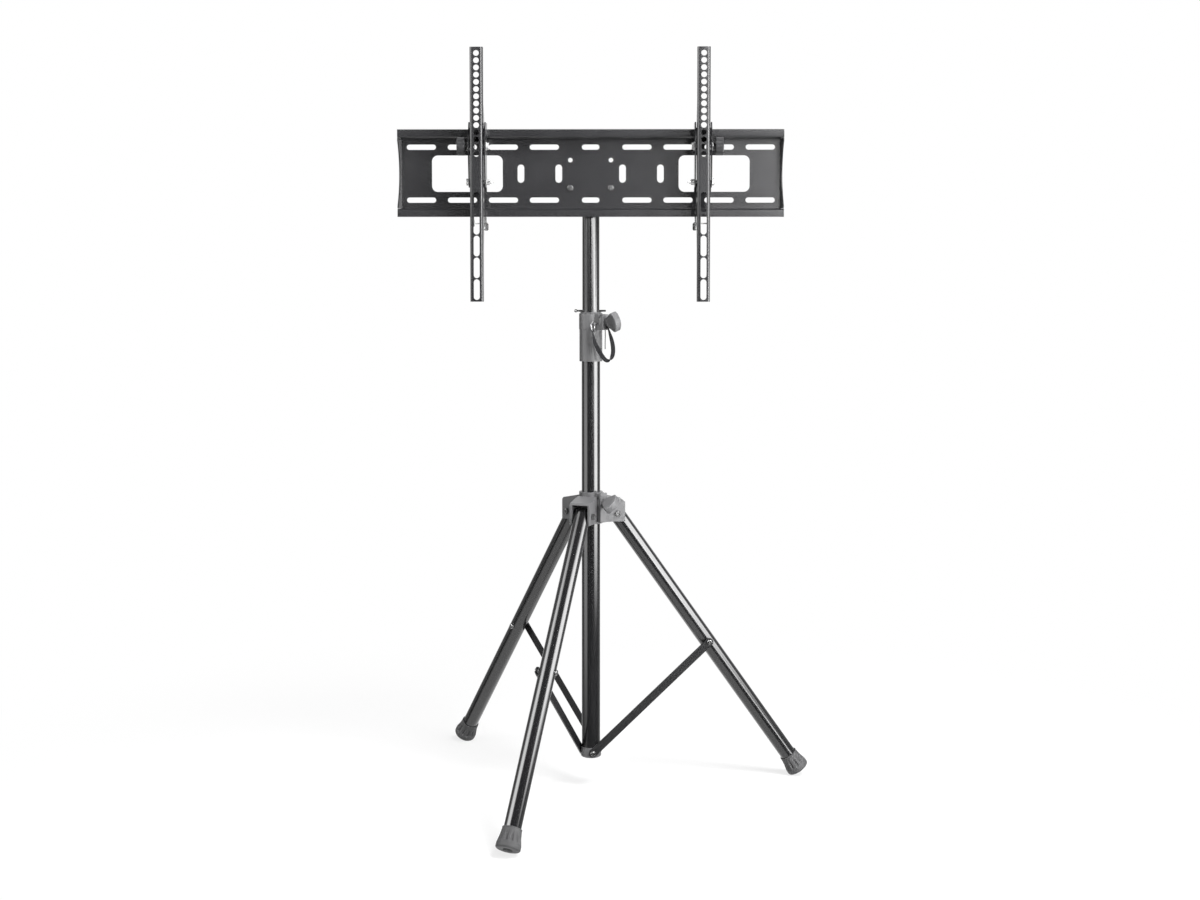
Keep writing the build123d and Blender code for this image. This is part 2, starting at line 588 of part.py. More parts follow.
def plate_screw():
    """Pan-head screw through the plate and the head bracket, pointing back."""
    front = -WEB_FRONT
    head = rod(5.2, (0, front - 3, 0), (0, front, 0))
    head = fillet(head.faces().sort_by(Axis.Y)[0].edges(), 1.2)
    socket = Pos(0, front - 3, 0) * Rot(90, 0, 0) * extrude(RegularPolygon(2.2, 6), 1.6, both=True)
    return head + rod(PLATE_SCREW_R, (0, front, 0), (0, -BRACKET_BACK + 6, 0)) - socket


def plate_nut():
    return Pos(0, -BRACKET_BACK, 0) * Rot(-90, 0, 0) * hex_nut(10.0, 4.0, PLATE_SCREW_R)


# ---------------------------------------------------------------- cross plate
def cross_plate():
    """Folded tray: a slotted web, shelves and turned lips above and below, leaning end walls."""
    half = SHEET / 2
    shelf = PLATE_HALF_Z - LIP
    web, front = -WEB_BACK - half, -LIP_FRONT + half
    sheet_line = [(front, PLATE_HALF_Z), (front, shelf - half), (web, shelf - half), (web, half - shelf),
                  (front, half - shelf), (front, -PLATE_HALF_Z)]
    section = folded(sheet_line, SHEET, BEND)
    web_half = PLATE_HALF_X - END_LEAN
    tray = Plane.YZ.offset(-PLATE_HALF_X) * extrude(section, 2 * PLATE_HALF_X)
    for side in (-1, 1):
        past = block(0, END_LEAN + 1, -WEB_FRONT - BEND, -WEB_BACK + 1, -PLATE_HALF_Z, PLATE_HALF_Z)
        tray -= Pos(side * web_half + (0 if side > 0 else -END_LEAN - 1), 0, 0) * past
        tray += end_wall(side, web_half, shelf)
    for z in (-SLOT_Z, SLOT_Z):
        tray -= punch(SlotOverall(MID_SLOT_LENGTH, SLOT_WIDTH), 0, -WEB_BACK, z, 8)
        for x in SLOT_X:
            for side in (-1, 1):
                tray -= punch(SlotOverall(SLOT_LENGTH, SLOT_WIDTH), side * x, -WEB_BACK, z, 8)
    for side in (-1, 1):
        tray -= punch(RectangleRounded(*WINDOW), side * WINDOW_X, -WEB_BACK, 0, 8)
        for x in UPRIGHT_SLOT_X:
            tray -= punch(SlotOverall(*UPRIGHT_SLOT, rotation=90), side * x, -WEB_BACK, 0, 8)
        tray -= punch(Circle(SMALL_HOLE_R), side * SMALL_HOLE_X, -WEB_BACK, SMALL_HOLE_UP, 8)
        tray -= punch(Circle(PLATE_SCREW_R), side * SMALL_HOLE_X, -WEB_BACK, SCREW_DOWN, 8)
    return Pos(0, 0, PLATE_Z) * tray


def end_wall(side, web_half, shelf):
    """End wall from the web to the lips, leaning outward, its free edge waisted."""
    lean = END_LEAN
    low_y, high_y = -LIP_FRONT, -WEB_BACK
    plan = [(side * (web_half - SHEET), high_y), (side * web_half, high_y), (side * (web_half + lean), low_y),
            (side * (web_half + lean - SHEET), low_y)]
    height = shelf - SHEET - 0.5
    wall = extrude(make_face(Polyline(*plan, close=True)), height, both=True)
    corner = height - 4
    waist = Line((low_y - 1, -corner), (low_y, -corner))
    waist += ThreePointArc((low_y, -corner), (low_y + END_WAIST, 0), (low_y, corner))
    waist += Polyline((low_y, corner), (low_y - 1, corner), (low_y - 1, -corner))
    cutter = Plane.YZ.offset(-PLATE_HALF_X - 5) * extrude(make_face(waist), 2 * PLATE_HALF_X + 10)
    return wall - cutter


# ---------------------------------------------------------------- arms
def arm(side):
    """Channel arm: screen holes above, slots below, side flanges deepest beside the bracket."""
    middle = ARM_SHEET / 2
    edge = ARM_HALF - middle
    deep = -ARM_FACE + FLANGE_MID
    channel_line = [(-edge, deep), (-edge, -ARM_FACE + middle), (edge, -ARM_FACE + middle), (edge, deep)]
    channel = extrude(folded(channel_line, ARM_SHEET, ARM_BEND), ARM_TOP - ARM_BOTTOM)
    channel = Pos(0, 0, ARM_BOTTOM) * channel
    shallow = -ARM_FACE + FLANGE_END
    low, mid_low, mid, mid_high, high = FLANGE_STEPS
    outline = [(-ARM_FACE - 1, ARM_BOTTOM - 1), (shallow, ARM_BOTTOM - 1), (shallow, low), (deep - 7, mid_low),
               (deep, mid), (deep, mid_high), (shallow, high), (shallow, ARM_TOP + 1),
               (-ARM_FACE - 1, ARM_TOP + 1)]
    channel = channel & side_plate(outline, -ARM_HALF - 1, ARM_HALF + 1)
    for number in range(ROUND_HOLES):
        height = ARM_TOP - ROUND_FIRST - number * ROUND_PITCH
        channel -= punch(Circle(ROUND_R), 0, -ARM_FACE, height, 4)
    for number in range(ARM_SLOTS):
        height = ARM_SLOT_LOW + number * ARM_SLOT_PITCH
        channel -= punch(SlotOverall(*ARM_SLOT, rotation=90), 0, -ARM_FACE, height, 4)
    for height, radius in ((TILT_Z, TILT_BOLT_R + PIN_RUN), (LOCK_Z, TILT_BOLT_R)):
        channel -= rod(radius, (-ARM_HALF - 1, -TILT_Y, height), (ARM_HALF + 1, -TILT_Y, height))
    return at_arm(channel, side)


def at_arm(part, side):
    """Put a piece made about an arm's middle, outer side to +X, at the left or right arm."""
    if side < 0:
        part = mirror(part, Plane.YZ)
    return Pos(side * ARM_X, 0, PLATE_Z) * part


# ---------------------------------------------------------------- hook bracket
def hook_bracket(side):
    """Two cheeks outside the arm, a hook over the plate's top lip, and a forked tail for the latch."""
    top = PLATE_HALF_Z + GAP
    finger_front = LIP_BACK - GAP
    finger_back = finger_front - HOOK_T
    cheek = [(-HOOK_BACK, HOOK_BOTTOM), (-HOOK_BACK, top), (-finger_front, top), (-finger_front, 65),
             (-finger_back, 65), (-finger_back, HOOK_TOP), (-66, HOOK_TOP), (-ARM_FACE + 2.5, 60),
             (-ARM_FACE + 2.5, 34), (-TILT_Y - 9, TILT_Z - 2), (-TILT_Y - 4, HOOK_BOTTOM)]
    body = side_plate(cheek, HOOK_HALF - HOOK_T, HOOK_HALF)
    body += side_plate(cheek, -HOOK_HALF, -HOOK_HALF + HOOK_T)
    body -= lock_slot()
    body += block(-HOOK_HALF, HOOK_HALF, -HOOK_FRONT, -HOOK_BACK, 52, top + HOOK_T)
    body += block(-HOOK_HALF, HOOK_HALF, -HOOK_FRONT, -finger_back, top, top + HOOK_T)
    body += block(-HOOK_HALF, HOOK_HALF, -finger_front, -finger_back, 65, top + HOOK_T)
    body += block(-HOOK_HALF, HOOK_HALF, -HOOK_FRONT, -HOOK_BACK, HOOK_BOTTOM - 11, HOOK_BOTTOM + 12)
    for x0, x1 in ((-10.6, -7.6), (7.6, 10.6)):
        body += block(x0, x1, -HOOK_FRONT, -HOOK_BACK, LATCH_Z - TAIL_END, HOOK_BOTTOM - 11)
        body += side_plate(latch_ear(), max(x0, -9.6), min(x1, 9.6))
    body -= rod(TILT_BOLT_R, (-HOOK_HALF - 1, -TILT_Y, TILT_Z), (HOOK_HALF + 1, -TILT_Y, TILT_Z))
    body -= rod(LATCH_PIN_R, (-12, -LATCH_Y, LATCH_Z), (12, -LATCH_Y, LATCH_Z))
    return at_arm(body, side)


def latch_ear():
    return [(-HOOK_BACK, LATCH_Z - TAIL_END), (-HOOK_BACK, LATCH_Z + 7), (-LATCH_Y + 3, LATCH_Z + 5),
            (-LATCH_Y + 4, LATCH_Z), (-LATCH_Y + 3, LATCH_Z - 4)]


def lock_slot():
    """Curved slots in both cheeks for the locking stud, centred on the tilt pivot."""
    reach = 2 * HOOK_HALF + 4
    inner, outer = TILT_RADIUS - TILT_BOLT_R - RUN, TILT_RADIUS + TILT_BOLT_R + RUN
    end = math.radians(TILT_MAX)

    def at(radius, angle):
        return (-TILT_Y - radius * math.sin(angle), TILT_Z + radius * math.cos(angle))

    outline = ThreePointArc(at(outer, 0), at(outer, end / 2), at(outer, end))
    outline += Line(at(outer, end), at(inner, end))
    outline += ThreePointArc(at(inner, end), at(inner, end / 2), at(inner, 0))
    outline += Line(at(inner, 0), at(outer, 0))
    cutter = Plane.YZ.offset(-reach / 2) * extrude(make_face(outline), reach)
    for angle in (0, end):
        y, z = at(TILT_RADIUS, angle)
        cutter += rod(TILT_BOLT_R + RUN, (-reach / 2, y, z), (reach / 2, y, z))
    return cutter


# ---------------------------------------------------------------- tilt pivot, lock and latch
def tilt_pivot(side):
    """Bolt across the bracket with its head outside and a wing nut inside."""
    head = Pos(HOOK_HALF, -TILT_Y, TILT_Z) * Rot(0, 90, 0) * hex_nut(10, 4, 0.5)
    head = Pos(HOOK_HALF, -TILT_Y, TILT_Z) * Rot(0, 90, 0) * extrude(RegularPolygon(5, 6, major_radius=False), 4)
    bolt = head + rod(TILT_BOLT_R, (-HOOK_HALF - 9, -TILT_Y, TILT_Z), (HOOK_HALF, -TILT_Y, TILT_Z))
    base = rod(5, (-HOOK_HALF - 6, -TILT_Y, TILT_Z), (-HOOK_HALF, -TILT_Y, TILT_Z))
    wing = make_face(Polyline((-HOOK_HALF - 2, 3), (-HOOK_HALF - 5, 3), (-HOOK_HALF - 12, 8),
                              (-HOOK_HALF - 11, 11), (-HOOK_HALF - 7, 10.5), close=True))
    wing = Plane.XY * fillet(wing.vertices(), 0.8)
    wing = Pos(0, -TILT_Y, TILT_Z) * extrude(wing, 1.0, both=True)
    turned = Pos(0, -TILT_Y, TILT_Z) * Rot(180, 0, 0) * Pos(0, TILT_Y, -TILT_Z) * wing
    nut = base + wing + turned
    nut -= rod(TILT_BOLT_R, (-HOOK_HALF - 20, -TILT_Y, TILT_Z), (0, -TILT_Y, TILT_Z))
    return [at_arm(bolt, side), at_arm(nut, side)]


def tilt_fittings(side):
    """Nut inside the arm's outer flange, and the guide screw in the inner cheek's slot."""
    inside = ARM_HALF - ARM_SHEET
    nut = Pos(inside - 4, -TILT_Y, LOCK_Z) * Rot(0, 90, 0) * hex_nut(10, 4, TILT_BOLT_R)
    guide = rod(TILT_BOLT_R, (-HOOK_HALF - GAP, -TILT_Y, LOCK_Z), (-inside + 3, -TILT_Y, LOCK_Z))
    washer = rod(7.2, (-HOOK_HALF - GAP - 1.2, -TILT_Y, LOCK_Z), (-HOOK_HALF - GAP, -TILT_Y, LOCK_Z))
    at = Pos(-HOOK_HALF - GAP - 4.6, -TILT_Y, LOCK_Z) * Rot(0, 90, 0)
    head = at * extrude(RegularPolygon(5, 6, major_radius=False), 3.4)
    return [at_arm(nut, side), at_arm(guide + washer + head, side)]


def tilt_knob(side):
    """Lobed hand knob on the outer side of the arm."""
    start = TILT_KNOB_AT
    knob = rod(TILT_KNOB_R, (start, 0, 0), (start + TILT_KNOB_T, 0, 0))
    knob = fillet(knob.edges().filter_by(GeomType.CIRCLE), 2.0)
    for number in range(5):
        angle = math.radians(72 * number + 90)
        y, z = (TILT_KNOB_R + 5.2) * math.cos(angle), (TILT_KNOB_R + 5.2) * math.sin(angle)
        knob -= rod(7.0, (start - 1, y, z), (start + TILT_KNOB_T + 1, y, z))
    knob += rod(7.0, (HOOK_HALF + GAP + 1.4, 0, 0), (start, 0, 0))
    knob -= rod(TILT_BOLT_R, (0, 0, 0), (start + 9, 0, 0))
    return at_arm(Pos(0, -TILT_Y, LOCK_Z) * knob, side)


def tilt_stud(side):
    """Stud of the tilt knob with its washer."""
    inside = ARM_HALF - ARM_SHEET - 4
    washer_at = HOOK_HALF + GAP
    stud = rod(TILT_BOLT_R - PIN_RUN, (inside, 0, 0), (washer_at, 0, 0))
    stud += rod(TILT_BOLT_R, (washer_at, 0, 0), (TILT_KNOB_AT + 9, 0, 0))
    stud += rod(7.2, (washer_at, 0, 0), (washer_at + 1.4, 0, 0))
    return at_arm(Pos(0, -TILT_Y, LOCK_Z) * stud, side)


def latch(side):
    """Sprung catch behind the plate's bottom lip, with a thumb tab on the arm's inner side."""
    nose_front = LIP_BACK - 0.5
    lever = [(-nose_front, -PLATE_HALF_Z + 8), (-nose_front + 3, -PLATE_HALF_Z + 8),
             (-LATCH_Y + 4.2, LATCH_Z + 2), (-LATCH_Y + 4.2, LATCH_Z - 4), (-nose_front + 2, LATCH_Z - TAB_END),
             (-nose_front - 1.5, LATCH_Z - TAB_END), (-nose_front - 1.5, LATCH_Z + 8),
             (-nose_front, -PLATE_HALF_Z - 1)]
    plate = side_plate(lever, -13.0, -11.0)
    plate -= rod(LATCH_PIN_R + PIN_RUN, (-20, -LATCH_Y, LATCH_Z), (20, -LATCH_Y, LATCH_Z))
    tab_y = -nose_front - 1.5
    tab = block(-16.6, -12.5, tab_y, tab_y + FINGER, LATCH_Z - TAB_END, LATCH_Z + 1)
    tab = fillet(tab.edges().filter_by(Axis.Y).sort_by(Axis.X)[:2], 2.5)
    low = LATCH_Z - TAB_END + 1
    finger = block(-11.5, -3.2, tab_y, tab_y + FINGER, low, low + FINGER)
    return at_arm(plate + tab + finger, side)


def latch_pin(side):
    """The latch's pin with a head at each end, and the coil spring on it."""
    pin = rod(LATCH_PIN_R, (-13.3, 0, 0), (10.9, 0, 0))
    pin += rod(2.4, (-14.5, 0, 0), (-13.3, 0, 0)) + rod(2.4, (10.9, 0, 0), (12.0, 0, 0))
    pin = Pos(0, -LATCH_Y, LATCH_Z) * pin
    coils = []
    for number in range(3):
        turn = Rot(0, 90, 0) * Torus(2.1, 0.4)
        coils.append(Pos(-6.8 + number * 0.9, -LATCH_Y, LATCH_Z) * turn)
    return [at_arm(piece, side) for piece in [pin] + coils]


# ---------------------------------------------------------------- write every node
def as_group(solids):
    """Several separate solids in one node."""
    return Compound(children=[solid for solid in solids])


def nodes():
    made = {}
    made["lower_pole"] = lower_pole()
    made["pole_end_cap"] = end_cap()
    made["brace_screws"] = as_group([Rot(0, 0, azimuth) * Pos(0, 0, BRACE_PIVOT_Z) * brace_screw()
                                     for azimuth in AZIMUTHS.values()])
    made["leg_hub"] = leg_hub()
    made["hub_nut"] = clamp_frame(square_nut(HUB_SLOT_AT), PIVOT_Z + HUB_SCREW_Z)
    made["hub_knob"] = clamp_frame(clamp_knob(HUB_KNOB_AT, HUB_KNOB_SPIN), PIVOT_Z + HUB_SCREW_Z)
    made["hub_stud"] = clamp_frame(clamp_stud(POLE_R + GAP, HUB_KNOB_AT), PIVOT_Z + HUB_SCREW_Z)
    made["leg_pivot_bolts"] = as_group([to_leg(leg_bolt(), name) for name in AZIMUTHS])
    made["leg_pivot_nuts"] = as_group([to_leg(leg_nut(), name) for name in AZIMUTHS])
    for name in AZIMUTHS:
        made["leg_" + name] = to_leg(lean_leg(leg_tube()), name)
        made["leg_plug_" + name] = to_leg(lean_leg(leg_plug()), name)
        made["foot_" + name] = to_leg(lean_leg(foot()), name)
        made["brace_bolt_" + name] = to_leg(lean_leg(brace_bolt()), name)
        made["brace_" + name] = to_brace(brace(), name)
        made["brace_rivet_" + name] = to_brace(brace_rivet(), name)
    made["pole_collar"] = collar()
    made["collar_nut"] = clamp_frame(square_nut(COLLAR_SLOT_AT), COLLAR_SCREW_Z)
    made["collar_knob"] = clamp_frame(clamp_knob(COLLAR_KNOB_AT, COLLAR_KNOB_SPIN), COLLAR_SCREW_Z)
    made["collar_stud"] = clamp_frame(clamp_stud(BUSH_R + GAP, COLLAR_KNOB_AT), COLLAR_SCREW_Z)
    made["lanyard_ring"] = lanyard_ring()
    made["lanyard_ends"] = as_group(lanyard_ends())
    made["lanyard_strap"] = cord("strap", STRAP_POINTS, STRAP_WIDTH)
    made["lanyard_tail"] = cord("tail", TAIL_POINTS, TAIL_DIAMETER)
    made["mast_bush"] = mast_bush()
    made["mast"] = mast()
    made["mast_guide"] = mast_guide()
    made["height_pin"] = height_pin()
    made["head_bracket"] = head_bracket()
    made["cross_plate"] = cross_plate()
    screws = [(side * SMALL_HOLE_X, 0, PLATE_Z + SCREW_DOWN) for side in (-1, 1)]
    made["plate_screws"] = as_group([Pos(*place) * plate_screw() for place in screws])
    made["plate_nuts"] = as_group([Pos(*place) * plate_nut() for place in screws])
    for name, side in (("left", -1), ("right", 1)):
        made["hook_bracket_" + name] = hook_bracket(side)
        made["arm_" + name] = arm(side)
        made["tilt_pivot_" + name] = as_group(tilt_pivot(side))
        made["tilt_fittings_" + name] = as_group(tilt_fittings(side))
        made["tilt_knob_" + name] = tilt_knob(side)
        made["tilt_stud_" + name] = tilt_stud(side)
        made["latch_" + name] = latch(side)
        made["latch_pin_" + name] = as_group(latch_pin(side))
    return made


def main():
    os.makedirs("parts", exist_ok=True)
    print("pivot z", round(PIVOT_Z, 4), "brace length", round(BRACE_LENGTH, 4), "brace angle",
          round(BRACE_ANGLE, 4), "folded brace", round(FOLDED_ANGLE, 4), "hub travel", round(HUB_TRAVEL, 4))
    print("pin z", PIN_Z, "mast top", MAST_TOP, "lip front", LIP_FRONT, "latch y", LATCH_Y, "lock z", LOCK_Z)
    for name, shape in nodes().items():
        export_step(shape, "parts/" + name + ".step")


main()
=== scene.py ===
"""Folding display stand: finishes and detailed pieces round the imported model."""
import json
import math

import bmesh
import bpy
from mathutils import Matrix, Vector


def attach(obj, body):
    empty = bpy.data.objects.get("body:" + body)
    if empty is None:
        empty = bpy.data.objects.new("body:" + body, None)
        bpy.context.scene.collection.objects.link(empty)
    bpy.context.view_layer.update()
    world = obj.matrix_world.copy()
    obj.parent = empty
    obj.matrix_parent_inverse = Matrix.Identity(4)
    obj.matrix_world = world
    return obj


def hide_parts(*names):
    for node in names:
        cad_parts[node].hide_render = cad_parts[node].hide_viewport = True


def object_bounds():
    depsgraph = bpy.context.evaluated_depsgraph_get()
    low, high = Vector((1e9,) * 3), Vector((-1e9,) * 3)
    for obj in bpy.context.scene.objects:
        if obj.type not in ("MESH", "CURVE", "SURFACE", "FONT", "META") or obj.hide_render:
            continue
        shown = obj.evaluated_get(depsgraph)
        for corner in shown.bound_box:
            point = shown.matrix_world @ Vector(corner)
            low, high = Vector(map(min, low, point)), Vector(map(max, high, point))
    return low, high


bl_info = {
    "name": "Folding Display Stand",
    "version": (1, 0, 0),
    "blender": (4, 5, 0),
    "location": "3D View > Sidebar > Display Stand",
    "description": "Finishes, feet, knobs and lanyard of a folding display stand",
    "category": "Object",
}

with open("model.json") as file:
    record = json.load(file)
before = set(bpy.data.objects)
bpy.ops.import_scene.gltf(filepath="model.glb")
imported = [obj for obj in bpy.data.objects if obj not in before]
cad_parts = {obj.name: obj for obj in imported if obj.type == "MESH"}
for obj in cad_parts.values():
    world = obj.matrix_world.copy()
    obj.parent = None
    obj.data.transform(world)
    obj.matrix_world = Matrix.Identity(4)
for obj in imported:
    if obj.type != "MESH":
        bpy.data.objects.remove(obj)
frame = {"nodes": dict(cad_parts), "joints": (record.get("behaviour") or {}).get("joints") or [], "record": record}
cad_box = [list(corner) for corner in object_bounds()]
MM = 0.001
JOINTS = {joint["name"]: joint for joint in frame["joints"]}
LEGS = ("right", "left", "front")
WHITE = (1.0, 1.0, 1.0, 1.0)
FINISH = {}     # the shared grain group and every material, by the finish's short name


# ---------------------------------------------------------------- settings
class StageSettings(bpy.types.PropertyGroup):
    """Camera, floor and lamps."""
    camera_place: bpy.props.FloatVectorProperty(
        name="Camera place", description="Where the camera stands", default=(0.050, -2.930, 0.9223),
        subtype="XYZ", unit="LENGTH")
    camera_pitch: bpy.props.FloatProperty(
        name="Camera pitch", description="How far the camera looks down", default=math.radians(3.0),
        subtype="ANGLE")
    camera_yaw: bpy.props.FloatProperty(
        name="Camera yaw", description="How far the camera turns to its left", default=math.radians(0.67),
        subtype="ANGLE")
    camera_lens: bpy.props.FloatProperty(
        name="Lens", description="Focal length in millimetres", default=50.96)
    camera_rise: bpy.props.FloatProperty(
        name="Vertical shift", description="Vertical shift of the lens", default=-0.0857)
    floor_colour: bpy.props.FloatVectorProperty(
        name="Floor", description="Colour of the floor", subtype="COLOR", default=(0.62, 0.62, 0.62))
    lamp_level: bpy.props.FloatProperty(
        name="Lamp level", description="Scales all the lamps", default=1.0)


class FinishSettings(bpy.types.PropertyGroup):
    """Colours of the stand's finishes."""
    coat: bpy.props.FloatVectorProperty(
        name="Powder coat", description="Colour of the coated steel", subtype="COLOR",
        default=(0.012, 0.012, 0.013))
    tube: bpy.props.FloatVectorProperty(
        name="Tube enamel", description="Colour of the pole, the mast and the legs", subtype="COLOR",
        default=(0.008, 0.008, 0.0085))
    brace: bpy.props.FloatVectorProperty(
        name="Brace coat", description="Colour of the flat braces", subtype="COLOR",
        default=(0.006, 0.006, 0.0065))
    moulding: bpy.props.FloatVectorProperty(
        name="Moulding", description="Colour of the grey mouldings", subtype="COLOR",
        default=(0.076, 0.076, 0.078))
    # The dark moulding's colour is also the painted shade inside the hollow of each sole.
    dark_moulding: bpy.props.FloatVectorProperty(
        name="Dark moulding", description="Colour of the black mouldings", subtype="COLOR",
        default=(0.022, 0.022, 0.023))
    rubber: bpy.props.FloatVectorProperty(
        name="Rubber", description="Colour of the feet", subtype="COLOR", default=(0.042, 0.042, 0.043))
    zinc: bpy.props.FloatVectorProperty(
        name="Zinc", description="Colour of the bright plated fasteners", subtype="COLOR",
        default=(0.60, 0.60, 0.60))
    # Painted shade: a darker copy of the bright zinc for the bolts, the screws and the pin, which look dark where
    # they mirror the dark room; the latches take it as well.
    dull_zinc: bpy.props.FloatVectorProperty(
        name="Shaded zinc", description="Colour of the bolts, the pin and the latches", subtype="COLOR",
        default=(0.30, 0.30, 0.30))
    nickel: bpy.props.FloatVectorProperty(
        name="Nickel", description="Colour of the split ring", subtype="COLOR", default=(0.66, 0.66, 0.67))
    webbing: bpy.props.FloatVectorProperty(
        name="Webbing", description="Colour of the lanyard", subtype="COLOR", default=(0.012, 0.012, 0.013))


class FootSettings(bpy.types.PropertyGroup):
    """Sizes of the rubber feet."""
    leg_length: bpy.props.FloatProperty(
        name="Leg length", description="From a leg's pivot to the middle of its sole", default=576.0 * MM,
        unit="LENGTH")
    foot_length: bpy.props.FloatProperty(
        name="Foot length", description="From the sole to the rim round the leg", default=34.0 * MM,
        unit="LENGTH")
    flutes: bpy.props.IntProperty(name="Flutes", description="Grooves round each foot", default=12)
    flute_depth: bpy.props.FloatProperty(
        name="Flute depth", description="Depth of the grooves", default=1.7 * MM, unit="LENGTH")


class KnobSettings(bpy.types.PropertyGroup):
    """Sizes of the clamp knobs' grip."""
    ridges: bpy.props.IntProperty(
        name="Ridges", description="Grip ridges on each face of a clamp knob", default=10)
    ridge_height: bpy.props.FloatProperty(
        name="Ridge height", description="Height of a grip ridge", default=0.7 * MM, unit="LENGTH")


class LanyardSettings(bpy.types.PropertyGroup):
    """Sizes of the strap and its tail."""
    strap_width: bpy.props.FloatProperty(
        name="Strap width", description="Width of the strap", default=7.4 * MM, unit="LENGTH")
    strap_thickness: bpy.props.FloatProperty(
        name="Strap thickness", description="Thickness of the strap", default=1.5 * MM, unit="LENGTH")
    tail_diameter: bpy.props.FloatProperty(
        name="Tail diameter", description="Diameter of the tail cord", default=1.4 * MM, unit="LENGTH")


def settings(name):
    """One of this stand's groups of settings."""
    return getattr(bpy.context.scene, "stand_" + name)


# ---------------------------------------------------------------- shader helpers
class Nodes:
    """Short calls for building a node tree."""

    def __init__(self, tree):
        self.tree = tree

    def add(self, kind, **values):
        node = self.tree.nodes.new(kind)
        for name, value in values.items():
            setattr(node, name, value)
        return node

    def link(self, start, end):
        self.tree.links.new(start, end)


def calc(nodes, operation, first, second=None, clamp=False):
    """One Math node; each input is a number or another node's output."""
    node = nodes.add("ShaderNodeMath", operation=operation, use_clamp=clamp)
    for socket, value in zip(node.inputs, (first, second)):
        if isinstance(value, (int, float)):
            socket.default_value = value
        elif value is not None:
            nodes.link(value, socket)
    return node.outputs["Value"]


def product(nodes, *values):
    """Multiplies numbers and outputs, from the first to the last."""
    result = values[0]
    for value in values[1:]:
        result = calc(nodes, "MULTIPLY", result, value)
    return result


def between(nodes, value, low, high, soft):
    """A mask that is 1 between two values, with soft ends."""
    masks = []
    for edge, start, end in ((low, 0.0, 1.0), (high, 1.0, 0.0)):
        step = nodes.add("ShaderNodeMapRange", interpolation_type="SMOOTHSTEP")
        step.inputs["From Min"].default_value = edge - soft
        step.inputs["From Max"].default_value = edge + soft
        step.inputs["To Min"].default_value = start
        step.inputs["To Max"].default_value = end
        nodes.link(value, step.inputs["Value"])
        masks.append(step.outputs["Result"])
    return product(nodes, *masks)


def shader_group(name, inputs, outputs):
    """An empty shader node group with its sockets, and its two end nodes."""
    group = bpy.data.node_groups.new(name, "ShaderNodeTree")
    for label, value in inputs:
        socket = group.interface.new_socket(label, in_out="INPUT", socket_type="NodeSocketFloat")
        socket.default_value = value
    for label in outputs:
        group.interface.new_socket(label, in_out="OUTPUT", socket_type="NodeSocketFloat")
    nodes = Nodes(group)
    return group, nodes, nodes.add("NodeGroupInput"), nodes.add("NodeGroupOutput")


def grain_group():
    """Fine surface grain and a slow mottle, both in object space."""
    group, nodes, start, end = shader_group(
        "surface_grain", (("Grain Scale", 2500.0), ("Mottle Scale", 18.0)), ("Grain", "Mottle"))
    place = nodes.add("ShaderNodeTexCoord")
    grain = nodes.add("ShaderNodeTexNoise")
    grain.inputs["Detail"].default_value = 2.0
    mottle = nodes.add("ShaderNodeTexNoise")
    mottle.inputs["Detail"].default_value = 3.0
    for noise, scale, output in ((grain, "Grain Scale", "Grain"), (mottle, "Mottle Scale", "Mottle")):
        nodes.link(place.outputs["Object"], noise.inputs["Vector"])
        nodes.link(start.outputs[scale], noise.inputs["Scale"])
        nodes.link(noise.outputs["Fac"], end.inputs[output])
    return group


def material(name):
    """A fresh material, its node helper and its Principled node."""
    made = bpy.data.materials.new(name)
    made.use_nodes = True
    nodes = Nodes(made.node_tree)
    return made, nodes, made.node_tree.nodes["Principled BSDF"]


NOISE_RANGE = (0.3, 0.7)     # a noise pattern seldom leaves these values


def vary(nodes, mask, low, high, target):
    """Feeds a value that runs from low to high with a noise mask."""
    spread = nodes.add("ShaderNodeMapRange")
    spread.inputs["From Min"].default_value, spread.inputs["From Max"].default_value = NOISE_RANGE
    spread.inputs["To Min"].default_value = low
    spread.inputs["To Max"].default_value = high
    nodes.link(mask, spread.inputs["Value"])
    nodes.link(spread.outputs["Result"], target)


def tint(nodes, mask, colour, spread, target):
    """Feeds a colour that is a little lighter and darker with a mask."""
    mix = nodes.add("ShaderNodeMix", data_type="RGBA")
    mix.inputs["A"].default_value = [value * (1 - spread) for value in colour] + [1]
    mix.inputs["B"].default_value = [value * (1 + spread) for value in colour] + [1]
    nodes.link(mask, mix.inputs["Factor"])
    nodes.link(mix.outputs["Result"], target)


def coated(name, colour, roughness, grain_scale, grain_depth, metallic=0.0, edge=0.5, spread=0.12, ior=1.5):
    """A grained finish with rounded edges: powder coat, moulded plastic, rubber or plate.

    grain_depth and edge, the radius of the rounding, are in millimetres. The colour varies by spread.
    """
    made, nodes, shader = material(name)
    surface = nodes.add("ShaderNodeGroup", node_tree=FINISH["grain"])
    surface.inputs["Grain Scale"].default_value = grain_scale
    tint(nodes, surface.outputs["Mottle"], colour, spread, shader.inputs["Base Color"])
    vary(nodes, surface.outputs["Mottle"], roughness * 0.92, roughness * 1.08, shader.inputs["Roughness"])
    shader.inputs["Metallic"].default_value = metallic
    shader.inputs["IOR"].default_value = ior
    bump = nodes.add("ShaderNodeBump")
    if edge:
        rounded = nodes.add("ShaderNodeBevel", samples=4)
        rounded.inputs["Radius"].default_value = edge * MM
        nodes.link(rounded.outputs["Normal"], bump.inputs["Normal"])
    bump.inputs["Strength"].default_value = 0.6
    bump.inputs["Distance"].default_value = grain_depth * MM
    nodes.link(surface.outputs["Grain"], bump.inputs["Height"])
    nodes.link(bump.outputs["Normal"], shader.inputs["Normal"])
    return made


